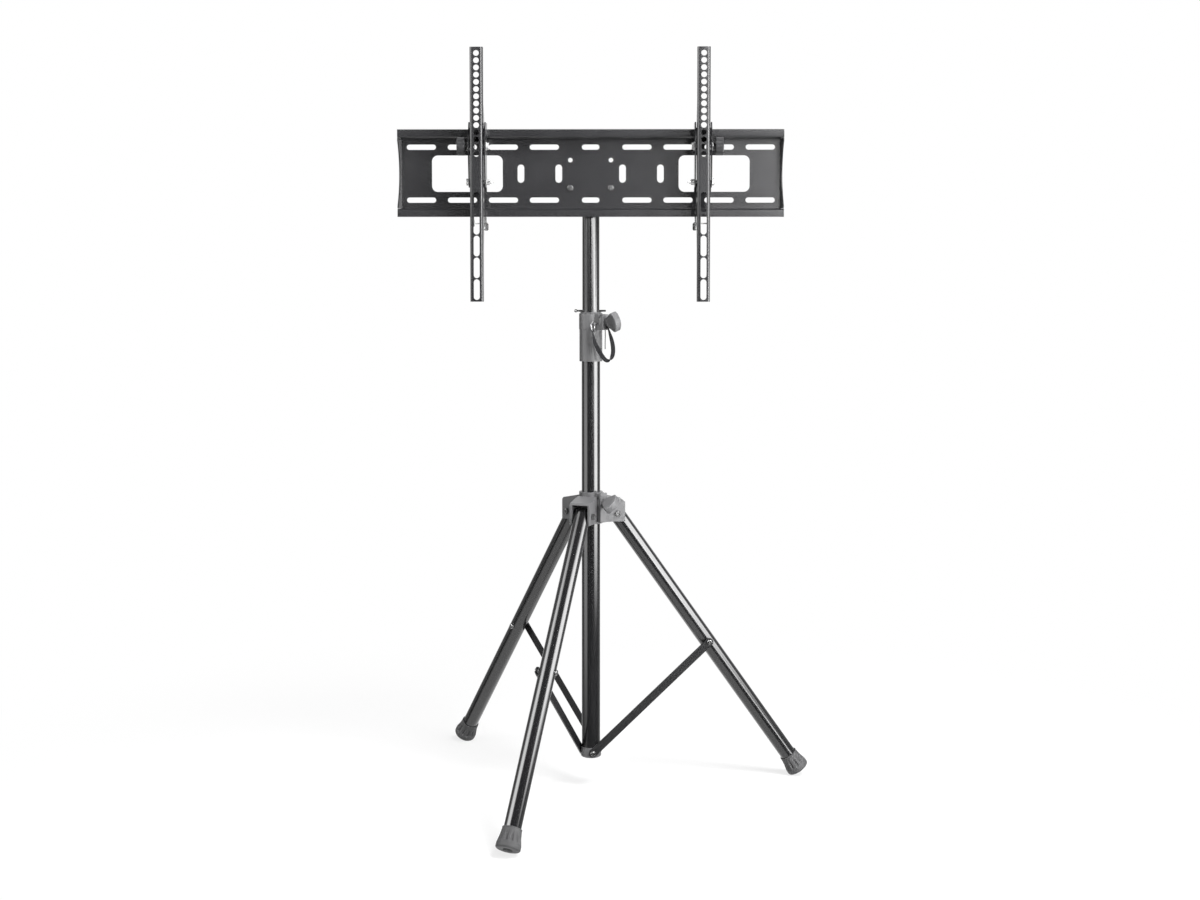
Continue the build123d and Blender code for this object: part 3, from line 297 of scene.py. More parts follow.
def woven(name, colour):
    """Black webbing: ribs across the strap, from its own lengthwise UV map."""
    made, nodes, shader = material(name)
    place = nodes.add("ShaderNodeUVMap", uv_map="Run")
    ribs = nodes.add("ShaderNodeTexWave", wave_type="BANDS", bands_direction="X")
    ribs.inputs["Scale"].default_value = 0.31
    ribs.inputs["Distortion"].default_value = 1.2
    nodes.link(place.outputs["UV"], ribs.inputs["Vector"])
    tint(nodes, ribs.outputs["Fac"], colour, 0.55, shader.inputs["Base Color"])
    shader.inputs["Roughness"].default_value = 0.82
    shader.inputs["Sheen Weight"].default_value = 0.04
    shader.inputs["Specular IOR Level"].default_value = 0.12
    bump = nodes.add("ShaderNodeBump")
    bump.inputs["Strength"].default_value = 0.8
    bump.inputs["Distance"].default_value = 0.18 * MM
    nodes.link(ribs.outputs["Fac"], bump.inputs["Height"])
    nodes.link(bump.outputs["Normal"], shader.inputs["Normal"])
    return made


# ---------------------------------------------------------------- mesh helpers
def new_piece(name, mesh, body, stands_for):
    """Links a finished mesh, rides it on its body and hides the CAD node it stands for."""
    piece = bpy.data.objects.new(name, mesh)
    bpy.context.scene.collection.objects.link(piece)
    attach(piece, body)
    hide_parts(stands_for)
    return piece


def smooth(mesh, corner):
    """Smooth shading, with edges kept sharp past a corner's angle in degrees."""
    work = bmesh.new()
    work.from_mesh(mesh)
    for face in work.faces:
        face.smooth = True
    for edge in work.edges:
        edge.smooth = len(edge.link_faces) != 2 or edge.calc_face_angle(0.0) < math.radians(corner)
    work.to_mesh(mesh)
    work.free()
    return mesh


def around(count):
    """Cosine and sine of as many even steps round a circle."""
    angles = [2 * math.pi * i / count for i in range(count)]
    return [(math.cos(angle), math.sin(angle)) for angle in angles]


def lathe(name, rings):
    """A closed mesh from rings of points, all with as many points, joined in order."""
    work = bmesh.new()
    rows = [[work.verts.new(point) for point in ring] for ring in rings]
    count = len(rows[0])
    for low, high in zip(rows, rows[1:]):
        for i in range(count):
            j = (i + 1) % count
            work.faces.new((low[i], low[j], high[j], high[i]))
    work.faces.new(list(reversed(rows[0])))
    work.faces.new(rows[-1])
    bmesh.ops.recalc_face_normals(work, faces=work.faces)
    mesh = bpy.data.meshes.new(name)
    work.to_mesh(mesh)
    work.free()
    return mesh


def set_input(modifier, tree, label, value):
    """Sets a Geometry Nodes input by its socket's identifier."""
    for item in tree.interface.items_tree:
        if item.item_type == "SOCKET" and item.in_out == "INPUT" and item.name == label:
            modifier[item.identifier] = value
            return
    raise ValueError("no input named " + label)


def geometry_tree(name, inputs):
    """A Geometry Nodes tree with named float, integer, object or material inputs."""
    tree = bpy.data.node_groups.new(name, "GeometryNodeTree")
    tree.interface.new_socket("Geometry", in_out="INPUT", socket_type="NodeSocketGeometry")
    for label, kind, value in inputs:
        socket = tree.interface.new_socket(label, in_out="INPUT", socket_type="NodeSocket" + kind)
        if value is not None:
            socket.default_value = value
    tree.interface.new_socket("Geometry", in_out="OUTPUT", socket_type="NodeSocketGeometry")
    nodes = Nodes(tree)
    return tree, nodes, nodes.add("NodeGroupInput"), nodes.add("NodeGroupOutput")


def finish_tree(nodes, made, start, end):
    """Ends a Geometry Nodes tree: real geometry in one material."""
    real = nodes.add("GeometryNodeRealizeInstances")
    finish = nodes.add("GeometryNodeSetMaterial")
    nodes.link(made, real.inputs["Geometry"])
    nodes.link(real.outputs["Geometry"], finish.inputs["Geometry"])
    nodes.link(start.outputs["Material"], finish.inputs["Material"])
    nodes.link(finish.outputs["Geometry"], end.inputs["Geometry"])


def grow(name, source, tree, values):
    """Runs a tree over a mesh and gives the result as a plain mesh."""
    holder = bpy.data.objects.new(name, source)
    bpy.context.scene.collection.objects.link(holder)
    modifier = holder.modifiers.new(name, "NODES")
    modifier.node_group = tree
    for label, value in values.items():
        set_input(modifier, tree, label, value)
    bpy.context.view_layer.update()
    graph = bpy.context.evaluated_depsgraph_get()
    made = bpy.data.meshes.new_from_object(holder.evaluated_get(graph))
    made.name = name
    holder.modifiers.clear()
    bpy.data.objects.remove(holder)
    return made


# ---------------------------------------------------------------- the stage
# Softboxes that light the surfaces: name, place, the point each shines at, width and height, watts.
SOFTBOXES = (
    ("softbox_right", (2.15, -1.75, 1.15), (0.0, 0.0, 0.75), (1.5, 2.5), 138.0),
    ("softbox_left", (-2.6, -0.6, 0.9), (0.0, 0.0, 0.7), (1.5, 2.0), 12.0),
    ("softbox_high_left", (-1.1, -1.5, 3.1), (0.0, 0.0, 0.6), (1.1, 1.1), 24.0),
    ("softbox_high_right", (1.3, -1.3, 3.1), (0.0, 0.0, 0.6), (1.1, 1.1), 250.0),
)
# The softbox by the right leg that only reflections see, and where it is lit: from, to and softness as shares
# of its width, and the same of its height.
LEG_SOFTBOX = ("softbox_legs", (0.645, -0.278, 0.725), (0.027, 0.051, 0.725), (0.76, 1.35), 24.2)
LEG_SOFTBOX_ACROSS = (0.126, 0.874, 0.112)
LEG_SOFTBOX_UP = (0.17, 0.62, 0.13)
# Strip lights that only reflections see: start, stop and softness in degrees round from the front, then lower
# end, upper end and softness as the height of the direction, then strength.
STRIPS = (
    (-92.0, -46.0, 6.0, -0.24, -0.035, 0.05, 1.9),
    (30.0, 63.0, 5.0, -0.035, 0.055, 0.015, 8.0),
    (-95.0, -62.0, 5.0, -0.035, 0.055, 0.015, 0.7),
    (-95.0, -48.0, 12.0, 0.055, 0.83, 0.06, 6.0),
    (9.5, 34.0, 3.5, 0.034, 0.3, 0.008, 17.0),
    (-34.0, -12.0, 4.0, 0.034, 0.3, 0.008, 3.0),
)
# The room that reflections see: its dark base, then the bright floor (from, to and softness as the height of
# the direction, and strength), then the walls behind (from and to in degrees round from the front, and
# strength, and the softness of them all). WORLD_FILL is the light from all round on the surfaces.
ROOM_BASE = 0.02
ROOM_FLOOR, ROOM_FLOOR_GLOW = (-2.0, -0.48, 0.09), 0.75
ROOM_WALLS, ROOM_WALL_SOFT = ((100.0, 148.0, 0.25), (148.0, 400.0, 0.95)), 7.0
WORLD_FILL = 0.12
# The floor: half its width, its gap under the soles, and how its shadows fade out with distance.
FLOOR_HALF, FLOOR_GAP = 30.0, 0.4 * MM
FLOOR_FADE = (("From Min", 0.35), ("From Max", 1.3), ("To Min", 0.78), ("To Max", 1.0))


def soft_lamp(name, place, target, size, power):
    """A rectangular lamp that shines at a point and isn't reflected."""
    data = bpy.data.lights.new(name, "AREA")
    data.shape = "RECTANGLE"
    data.size, data.size_y = size
    data.energy = power * settings("stage").lamp_level
    lamp = bpy.data.objects.new(name, data)
    lamp.location = place
    lamp.rotation_euler = (Vector(target) - lamp.location).to_track_quat("-Z", "Y").to_euler()
    lamp.visible_glossy = False
    bpy.context.scene.collection.objects.link(lamp)
    return lamp


class STAND_OT_stage(bpy.types.Operator):
    """Adds the camera, the floor, the lamps and the world"""
    bl_idname = "stand.stage"
    bl_label = "Stage"

    def execute(self, context):
        stage = settings("stage")
        data = bpy.data.cameras.new("camera")
        data.lens = stage.camera_lens
        data.sensor_width = 36.0
        data.shift_y = stage.camera_rise
        data.clip_end = 60.0
        camera = bpy.data.objects.new("camera", data)
        camera.location = stage.camera_place
        camera.rotation_euler = (math.radians(90) - stage.camera_pitch, 0.0, stage.camera_yaw)
        context.scene.collection.objects.link(camera)
        context.scene.camera = camera
        context.scene.view_settings.view_transform = "Standard"
        self.floor(context)
        self.world(context)
        for softbox in SOFTBOXES:
            soft_lamp(*softbox)
        self.leg_light()
        return {"FINISHED"}

    def leg_light(self):
        """A softbox that only reflections see, fading towards its sides and the floor."""
        lamp = soft_lamp(*LEG_SOFTBOX)
        lamp.visible_glossy = True
        lamp.visible_diffuse = lamp.visible_transmission = False
        lamp.data.use_nodes = True
        tree = lamp.data.node_tree
        nodes = Nodes(tree)
        place = nodes.add("ShaderNodeNewGeometry")
        split = nodes.add("ShaderNodeSeparateXYZ")
        nodes.link(place.outputs["Parametric"], split.inputs["Vector"])
        across = between(nodes, split.outputs["X"], *LEG_SOFTBOX_ACROSS)
        up = between(nodes, split.outputs["Y"], *LEG_SOFTBOX_UP)
        nodes.link(product(nodes, across, up), tree.nodes["Emission"].inputs["Strength"])

    def floor(self, context):
        """A wide floor that shows white, and still takes the stand's shadow."""
        mesh = bpy.data.meshes.new("floor")
        half = FLOOR_HALF
        mesh.from_pydata([(-half, -half, 0), (half, -half, 0), (half, half, 0), (-half, half, 0)], [],
                         [(0, 1, 2, 3)])
        floor = bpy.data.objects.new("floor", mesh)
        floor.location.z = cad_box[0][2] - FLOOR_GAP
        context.scene.collection.objects.link(floor)
        made, nodes, shader = material("pale_floor")
        shader.inputs["Base Color"].default_value = list(settings("stage").floor_colour) + [1]
        shader.inputs["Roughness"].default_value = 0.9
        shader.inputs["Specular IOR Level"].default_value = 0.1
        path = nodes.add("ShaderNodeLightPath")
        glow = nodes.add("ShaderNodeEmission")
        place = nodes.add("ShaderNodeTexCoord")
        away = nodes.add("ShaderNodeVectorMath", operation="LENGTH")
        fade = nodes.add("ShaderNodeMapRange", interpolation_type="SMOOTHSTEP")
        for label, value in FLOOR_FADE:
            fade.inputs[label].default_value = value
        mix = nodes.add("ShaderNodeMixShader")
        nodes.link(place.outputs["Object"], away.inputs[0])
        nodes.link(away.outputs["Value"], fade.inputs["Value"])
        seen = calc(nodes, "MAXIMUM", path.outputs["Is Camera Ray"], path.outputs["Is Glossy Ray"])
        nodes.link(product(nodes, seen, fade.outputs["Result"]), mix.inputs["Fac"])
        nodes.link(shader.outputs["BSDF"], mix.inputs[1])
        nodes.link(glow.outputs["Emission"], mix.inputs[2])
        nodes.link(mix.outputs["Shader"], made.node_tree.nodes["Material Output"].inputs["Surface"])
        mesh.materials.append(made)
        floor.visible_glossy = False

    def world(self, context):
        """White to the camera, grey as a light, and a room with strip lights to reflections."""
        world = bpy.data.worlds.new("studio")
        world.use_nodes = True
        context.scene.world = world
        nodes = Nodes(world.node_tree)
        fill = world.node_tree.nodes["Background"]
        fill.inputs["Strength"].default_value = WORLD_FILL
        white = nodes.add("ShaderNodeBackground")
        room = nodes.add("ShaderNodeBackground")
        for light in (fill, white, room):
            light.inputs["Color"].default_value = WHITE
        place = nodes.add("ShaderNodeTexCoord")
        split = nodes.add("ShaderNodeSeparateXYZ")
        nodes.link(place.outputs["Generated"], split.inputs["Vector"])
        turn = calc(nodes, "ARCTAN2", split.outputs["X"], product(nodes, split.outputs["Y"], -1.0))
        level = split.outputs["Z"]
        ground = product(nodes, between(nodes, level, *ROOM_FLOOR), ROOM_FLOOR_GLOW)
        glow = calc(nodes, "ADD", ground, ROOM_BASE)
        for start, stop, soft, low, high, fade, power in STRIPS:
            across = between(nodes, turn, math.radians(start), math.radians(stop), math.radians(soft))
            up = between(nodes, level, low, high, fade)
            glow = calc(nodes, "ADD", product(nodes, across, up, power), glow)
        back = calc(nodes, "ABSOLUTE", turn)
        for start, stop, power in ROOM_WALLS:
            wall = between(nodes, back, math.radians(start), math.radians(stop), math.radians(ROOM_WALL_SOFT))
            glow = calc(nodes, "ADD", glow, product(nodes, wall, power))
        nodes.link(glow, room.inputs["Strength"])
        path = nodes.add("ShaderNodeLightPath")
        reflected = nodes.add("ShaderNodeMixShader")
        seen = nodes.add("ShaderNodeMixShader")
        through = calc(nodes, "MAXIMUM", path.outputs["Is Camera Ray"], path.outputs["Is Transmission Ray"])
        nodes.link(path.outputs["Is Glossy Ray"], reflected.inputs["Fac"])
        nodes.link(fill.outputs["Background"], reflected.inputs[1])
        nodes.link(room.outputs["Background"], reflected.inputs[2])
        nodes.link(through, seen.inputs["Fac"])
        nodes.link(reflected.outputs["Shader"], seen.inputs[1])
        nodes.link(white.outputs["Background"], seen.inputs[2])
        nodes.link(seen.outputs["Shader"], world.node_tree.nodes["World Output"].inputs["Surface"])


# ---------------------------------------------------------------- lanyard
# Routes of the strap and of the tail, in millimetres.
STRAP_ROUTE = [(4, -29.6, 795.8), (5.6, -29.4, 782.3), (11.4, -28.6, 768.8), (18.8, -28.2, 755.8),
               (26.6, -28.6, 746.3), (34.2, -29.4, 747.8), (38.8, -30.4, 758.8), (38.2, -31.6, 774.3),
               (33.8, -32.6, 791.3), (28.6, -31.7, 807.2)]
TAIL_ROUTE = [(24.9, -28.3, 799.5), (25.3, -28.6, 790.3), (24.7, -28.9, 778.3), (24.9, -29, 766.8)]


def route_line(name, route):
    """The smooth line along a route, as points."""
    curve = bpy.data.curves.new(name, "CURVE")
    curve.dimensions = "3D"
    curve.resolution_u = 24
    spline = curve.splines.new("NURBS")
    spline.points.add(len(route) - 1)
    for point, place in zip(spline.points, route):
        point.co = [value * MM for value in place] + [1.0]
    spline.order_u = 3
    spline.use_endpoint_u = True
    holder = bpy.data.objects.new(name, curve)
    mesh = bpy.data.meshes.new_from_object(holder)
    points = [vertex.co.copy() for vertex in mesh.vertices]
    bpy.data.objects.remove(holder)
    return points


def swept(name, line, section, twist):
    """A tube of any section along a line; twist(share) turns its width from +Y towards the bend's inside."""
    runs = [0.0]
    for start, end in zip(line, line[1:]):
        runs.append(runs[-1] + (end - start).length)
    rings = []
    for i, point in enumerate(line):
        ahead = line[min(i + 1, len(line) - 1)] - line[max(i - 1, 0)]
        ahead.normalize()
        wide = Vector((0, 1, 0)) - ahead * ahead.y
        wide.normalize()
        wide = Matrix.Rotation(twist(runs[i] / runs[-1]), 3, ahead) @ wide
        thick = ahead.cross(wide)
        rings.append([point + wide * u + thick * v for u, v in section])
    mesh = lathe(name, rings)
    layer = mesh.uv_layers.new(name="Run")
    count = len(section)
    for loop in mesh.loops:
        row, column = divmod(loop.vertex_index, count)
        layer.data[loop.index].uv = (runs[row] / MM, column / count)
    return mesh


def oval(width, thickness, count, square):
    """A section from round, at a square of 1, to flat with blunt sides, below that."""
    return [(math.copysign(abs(c) ** square, c) * width / 2,
             math.copysign(abs(s) ** square, s) * thickness / 2) for c, s in around(count)]


# The strap is flat at both ends and at the loop's bottom, and turns on edge between them: the angle in
# degrees, how blunt the turn is, and how near to the bottom its middle is on the way down and on the way up.
TWIST, TWIST_BLUNT, TWIST_DOWN, TWIST_UP = 84.0, 0.6, 1.6, 1.9


def strap_twist(share):
    """The strap's turn at a share of its length, one way going down and the other way coming up."""
    if share < 0.5:
        side, reach, lean = 1.0, share / 0.5, TWIST_DOWN
    else:
        side, reach, lean = -1.0, (1.0 - share) / 0.5, TWIST_UP
    return side * math.radians(TWIST) * max(0.0, math.sin(math.pi * reach ** lean)) ** TWIST_BLUNT


class STAND_OT_lanyard(bpy.types.Operator):
    """Makes the strap and the thin tail cord"""
    bl_idname = "stand.lanyard"
    bl_label = "Lanyard"

    def execute(self, context):
        sizes = settings("lanyard")
        self.hang("strap", STRAP_ROUTE, oval(sizes.strap_width, sizes.strap_thickness, 20, 0.55), strap_twist,
                  "lanyard_strap", sizes.strap_width, "object", [frame["nodes"]["lanyard_ends"]])
        self.hang("tail_cord", TAIL_ROUTE, oval(sizes.tail_diameter, sizes.tail_diameter, 12, 1.0),
                  lambda share: 0.0, "lanyard_tail", sizes.tail_diameter, "bare", [])
        return {"FINISHED"}

    def hang(self, name, route, section, twist, stands_for, diameter, far_end, ends):
        line = route_line(name + "_line", route)
        mesh = smooth(swept(name, line, section, twist), 60)
        mesh.materials.append(FINISH["webbing"])
        piece = new_piece(name, mesh, "base", stands_for)


# ---------------------------------------------------------------- finishes
SLOT_FINISH = {"black_steel": "coat", "grey_moulding": "moulding", "black_moulding": "dark_moulding",
               "grey_rubber": "rubber", "zinc": "zinc", "bright_steel": "nickel", "black_strap": "webbing"}
TUBES = ("lower_pole", "mast", "leg_right", "leg_left", "leg_front")
# The pin, the latches and these fasteners take the darker zinc, which is painted shade on the bolts, the screws
# and the pin.
SHADED_METAL_PARTS = ("height_pin", "latch_left", "latch_right")
SHADED_ZINC_FASTENERS = ("leg_pivot_", "brace_", "plate_")


class STAND_OT_finishes(bpy.types.Operator):
    """Gives every carried-over part its finish"""
    bl_idname = "stand.finishes"
    bl_label = "Finishes"

    def execute(self, context):
        colours = settings("finish")
        FINISH["grain"] = grain_group()
        # Short name, material, colour, roughness, scale and depth of the grain, and the rest.
        for short, name, colour, roughness, grain, depth, more in (
                ("coat", "powder_coat", colours.coat, 0.22, 1400.0, 0.006,
                 {"edge": 0.12, "spread": 0.10, "ior": 1.7}),
                ("tube", "tube_enamel", colours.tube, 0.15, 2600.0, 0.0002,
                 {"edge": 0.0, "spread": 0.08, "ior": 1.9}),
                ("moulding", "grey_moulding", colours.moulding, 0.42, 1600.0, 0.04,
                 {"edge": 0.7, "ior": 1.6}),
                ("knob", "knob_moulding", colours.moulding, 0.5, 1600.0, 0.05, {"edge": 0.5}),
                ("dark_moulding", "dark_moulding", colours.dark_moulding, 0.45, 1500.0, 0.03,
                 {"edge": 0.8}),
                ("rubber", "foot_rubber", colours.rubber, 0.62, 1200.0, 0.05, {"edge": 0.7}),
                ("zinc", "bright_zinc", colours.zinc, 0.26, 700.0, 0.004,
                 {"metallic": 0.6, "edge": 0.15}),
                ("nickel", "bright_nickel", colours.nickel, 0.22, 500.0, 0.004,
                 {"metallic": 0.8, "edge": 0.2}),
                ("bolt", "dull_zinc", colours.dull_zinc, 0.24, 600.0, 0.004,
                 {"metallic": 1.0, "edge": 0.2}),
                ("brace", "brace_coat", colours.brace, 0.36, 1400.0, 0.02, {"edge": 0.3, "ior": 1.4})):
            FINISH[short] = coated(name, colour, roughness, grain, depth, **more)
        FINISH["webbing"] = woven("lanyard_webbing", colours.webbing)
        slots = {row["node"]: row["material_slot"] for row in frame["record"]["subparts"]}
        tree = self.shading_tree()
        for name, node in frame["nodes"].items():
            node.data.materials.clear()
            node.data.materials.append(FINISH[self.finish_of(name, slots[name])])
            shading = node.modifiers.new("shading", "NODES")
            shading.node_group = tree
        return {"FINISHED"}

    def finish_of(self, name, slot):
        """The finish of a carried-over part, from its name where it differs from the others in its slot."""
        if name in TUBES:
            return "tube"
        if name == "lanyard_ends":
            return "dark_moulding"
        # The darker zinc on these bolts, screws and the pin is painted shade.
        if name in SHADED_METAL_PARTS or (slot == "zinc" and name.startswith(SHADED_ZINC_FASTENERS)):
            return "bolt"
        if slot == "black_steel" and name.startswith("brace_"):
            return "brace"
        return SLOT_FINISH[slot]

    def shading_tree(self):
        """Smooth shading for a carried-over part, with its real corners kept sharp."""
        tree, nodes, start, end = geometry_tree("smooth_faces", (("Corner", "Float", math.radians(28.0)),))
        plain = nodes.add("GeometryNodeRemoveAttribute")
        plain.inputs["Name"].default_value = "custom_normal"
        weld = nodes.add("GeometryNodeMergeByDistance")
        weld.inputs["Distance"].default_value = 0.002 * MM
        soft = nodes.add("GeometryNodeSetShadeSmooth", domain="FACE")
        sharp = nodes.add("GeometryNodeSetShadeSmooth", domain="EDGE")
        sharp.inputs["Shade Smooth"].default_value = False
        bend = nodes.add("GeometryNodeInputMeshEdgeAngle")
        past = nodes.add("ShaderNodeMath", operation="GREATER_THAN")
        nodes.link(start.outputs["Geometry"], plain.inputs["Geometry"])
        nodes.link(plain.outputs["Geometry"], weld.inputs["Geometry"])
        nodes.link(weld.outputs["Geometry"], soft.inputs["Geometry"])
        nodes.link(soft.outputs["Geometry"], sharp.inputs["Geometry"])
        nodes.link(bend.outputs["Unsigned Angle"], past.inputs[0])
        nodes.link(start.outputs["Corner"], past.inputs[1])
        nodes.link(past.outputs["Value"], sharp.inputs["Selection"])
        nodes.link(sharp.outputs["Geometry"], end.inputs["Geometry"])
        return tree


# ---------------------------------------------------------------- feet
# Faces inside these limits take the dark moulding as painted shade in the hollow.
RECESS_R, RECESS_TOP = 7.6 * MM, 8.0 * MM     # the hollow in a sole lies inside these
# Where the flutes are: from and to over the sole, how far they take to reach their depth at each end, and the
# radius inside which nothing is pressed. A wave runs round the foot, and its part above minus FLUTE_SHARE is
# pressed in.
FLUTE_PLACE = {"Low": 9.5 * MM, "High": 28.0 * MM, "Lower Ramp": 2.8 * MM, "Upper Ramp": 9.0 * MM,
               "Inner Radius": 14.6 * MM}
FLUTE_SHARE, FLUTE_SHARPNESS = 0.35, 1.1


def foot_outline(length):
    """Outline of a foot, up from its sole's hollow: distance from the leg's axis, height over the sole."""
    sole_r, band, waist_r, waist, top_r = (value * MM for value in (20.0, 9.0, 17.3, 20.0, 15.7))
    edge, bore_r = 3.2 * MM, 14.05 * MM
    outline = [(reach * MM, height * MM)
               for reach, height in ((6.6, 7.0), (7.2, 6.4), (7.5, 1.0), (8.2, 0.1), (8.8, 0.0))]
    for i in range(7):
        angle = math.radians(15.0 * i)
        outline.append((sole_r - edge + edge * math.sin(angle), edge - edge * math.cos(angle)))
    for start, end, rise, top, steps in ((sole_r, sole_r - 0.2 * MM, edge, band, 3),
                                         (sole_r - 0.2 * MM, waist_r, band, waist, 9),
                                         (waist_r, top_r, waist, length - 2.4 * MM, 14)):
        for i in range(1, steps + 1):
            share = i / steps
            outline.append((start + (end - start) * share, rise + (top - rise) * share))
    for reach, height in ((0.25, -2.1), (0.35, -1.4), (0.30, -0.6), (-0.2, -0.1), (-0.9, 0.0)):
        outline.append((top_r + reach * MM, length + height * MM))
    return outline + [(bore_r, length - 0.3 * MM), (bore_r, length - 6.0 * MM)]


def spun(name, outline, count):
    """A closed mesh spun round Z from an outline of distance and height."""
    return lathe(name, [[Vector((reach * c, reach * s, height)) for c, s in around(count)]
                        for reach, height in outline])


class STAND_OT_feet(bpy.types.Operator):
    """Makes the three fluted rubber feet"""
    bl_idname = "stand.feet"
    bl_label = "Feet"

    def execute(self, context):
        sizes = settings("foot")
        tree = self.flute_tree()
        blank = spun("foot_blank", foot_outline(sizes.foot_length), 160)
        values = {"Flutes": sizes.flutes, "Depth": sizes.flute_depth, "Material": FINISH["rubber"]}
        for name in LEGS:
            title = "rubber_foot_" + name
            mesh = grow(title, blank, tree, {**values, **FLUTE_PLACE})
            # The faces inside the sole's hollow take the dark moulding: painted shade in the hollow, not a second
            # material.
            mesh.materials.append(FINISH["dark_moulding"])
            for face in mesh.polygons:
                if face.center.to_2d().length < RECESS_R and face.center.z < RECESS_TOP:
                    face.material_index = 1
            mesh.transform(self.place(name, sizes.leg_length))
            new_piece(title, smooth(mesh, 40), "leg_" + name, "foot_" + name)
        return {"FINISHED"}

    def place(self, name, leg_length):
        """Matrix from a foot's own frame, standing on the middle of its sole, to its leg's end."""
        joint = JOINTS["leg_fold_" + name]
        side = Vector(joint["axis"]).normalized()
        out = Vector((joint["pos_m"][0], joint["pos_m"][1], 0.0)).normalized()
        lean = math.radians(joint["range_deg"][1])
        up = Vector((0, 0, 1)) * math.cos(lean) - out * math.sin(lean)
        turn = Matrix((side.cross(up), side, up)).transposed()
        return Matrix.Translation(Vector(joint["pos_m"]) - up * leg_length) @ turn.to_4x4()

    def flute_tree(self):
        """Presses flutes into a foot that stands on the origin."""
        sizes = tuple((label, "Float", value) for label, value in FLUTE_PLACE.items())
        tree, nodes, start, end = geometry_tree("foot_flutes", (
            ("Flutes", "Int", 12), ("Depth", "Float", 1.7 * MM)) + sizes + (("Material", "Material", None),))
        place = nodes.add("GeometryNodeInputPosition")
        parts = nodes.add("ShaderNodeSeparateXYZ")
        nodes.link(place.outputs["Position"], parts.inputs["Vector"])
        x, y, z = (parts.outputs[axis] for axis in "XYZ")
        wave = calc(nodes, "COSINE", product(nodes, calc(nodes, "ARCTAN2", y, x), start.outputs["Flutes"]))
        groove = calc(nodes, "MAXIMUM", calc(nodes, "ADD", wave, FLUTE_SHARE), 0.0)
        groove = calc(nodes, "POWER", groove, FLUTE_SHARPNESS)
        above = calc(nodes, "SUBTRACT", z, start.outputs["Low"])
        above = calc(nodes, "DIVIDE", above, start.outputs["Lower Ramp"], clamp=True)
        below = calc(nodes, "SUBTRACT", start.outputs["High"], z)
        below = calc(nodes, "DIVIDE", below, start.outputs["Upper Ramp"], clamp=True)
        reach = calc(nodes, "SQRT", calc(nodes, "ADD", product(nodes, x, x), product(nodes, y, y)))
        outside = calc(nodes, "GREATER_THAN", reach, start.outputs["Inner Radius"])
        amount = product(nodes, groove, product(nodes, above, below), outside, start.outputs["Depth"])
        inward = nodes.add("ShaderNodeCombineXYZ")
        shrink = calc(nodes, "DIVIDE", product(nodes, amount, -1.0), reach)
        nodes.link(product(nodes, x, shrink), inward.inputs["X"])
        nodes.link(product(nodes, y, shrink), inward.inputs["Y"])
        press = nodes.add("GeometryNodeSetPosition")
        nodes.link(start.outputs["Geometry"], press.inputs["Geometry"])
        nodes.link(inward.outputs["Vector"], press.inputs["Offset"])
        finish_tree(nodes, press.outputs["Geometry"], start, end)
        return tree


# ---------------------------------------------------------------- clamp knobs
# The two clamps: how far out along its screw each knob starts, in millimetres, and its turn in degrees.
CLAMPS = (("hub", 34.3, -45.0), ("collar", 42.8, 17.0))
# In millimetres: places along the neck with its radius there, then the first ridge's place, the last one's,
# how high over the paddle's middle they sit, and half a ridge's width.
KNOB_NECK = ((0.0, 4.9), (0.15, 5.6), (0.7, 6.0), (6.0, 6.0), (9.0, 5.2))
RIDGE_FIRST, RIDGE_LAST, RIDGE_SEAT, RIDGE_HALF = 7.5, 25.2, 6.42, 0.55


def knob_outline():
    """Outline of the paddle in its own plane, in order round it: out from the screw, and across."""
    half, neck, shoulder, depth = 17.8, 6.0, 20.0, 28.0
    crown = (half ** 2 + (depth - shoulder) ** 2) / (2 * (depth - shoulder))
    side = Vector((shoulder - 2.0, half - neck)).normalized()
    corner = Vector((shoulder, half))
    first = corner - side * 3.0
    swing = math.atan2(half, shoulder - depth + crown) - math.radians(6.0)
    last = Vector((depth - crown + crown * math.cos(swing), crown * math.sin(swing)))
    points = [Vector((2.0, neck)).lerp(first, i / 5) for i in range(5)]
    for i in range(7):
        share = i / 6
        points.append(first.lerp(corner, share).lerp(corner.lerp(last, share), share))
    for i in range(1, 12):
        angle = swing * (1 - i / 12)
        points.append(Vector((depth - crown + crown * math.cos(angle), crown * math.sin(angle))))
    points.append(Vector((depth, 0.0)))
    lower = [Vector((point.x, -point.y)) for point in reversed(points[:-1])]
    return points + lower


def knob_body(name):
    """The paddle and its neck: +X out along the screw, Z through the paddle."""
    half_t, edge = 6.5, 1.5
    outline = knob_outline()
    count = len(outline)
    levels = [(-half_t + edge - edge * math.sin(math.radians(a)), edge - edge * math.cos(math.radians(a)))
              for a in (90, 67, 45, 22, 0)]
    levels += [(-height, inset) for height, inset in reversed(levels)]
    rings = []
    for height, inset in levels:
        ring = []
        for i, point in enumerate(outline):
            along = (outline[(i + 1) % count] - outline[i - 1]).normalized()
            inward = Vector((along.y, -along.x))
            spot = (point + inward * inset) * MM
            ring.append(Vector((spot.x, spot.y, height * MM)))
        rings.append(ring)
    mesh = lathe(name, rings)
    neck = lathe(name + "_neck", [[Vector((x * MM, reach * MM * c, reach * MM * s)) for c, s in around(40)]
                                  for x, reach in KNOB_NECK])
    work = bmesh.new()
    work.from_mesh(mesh)
    work.from_mesh(neck)
    work.to_mesh(mesh)
    work.free()
    return mesh


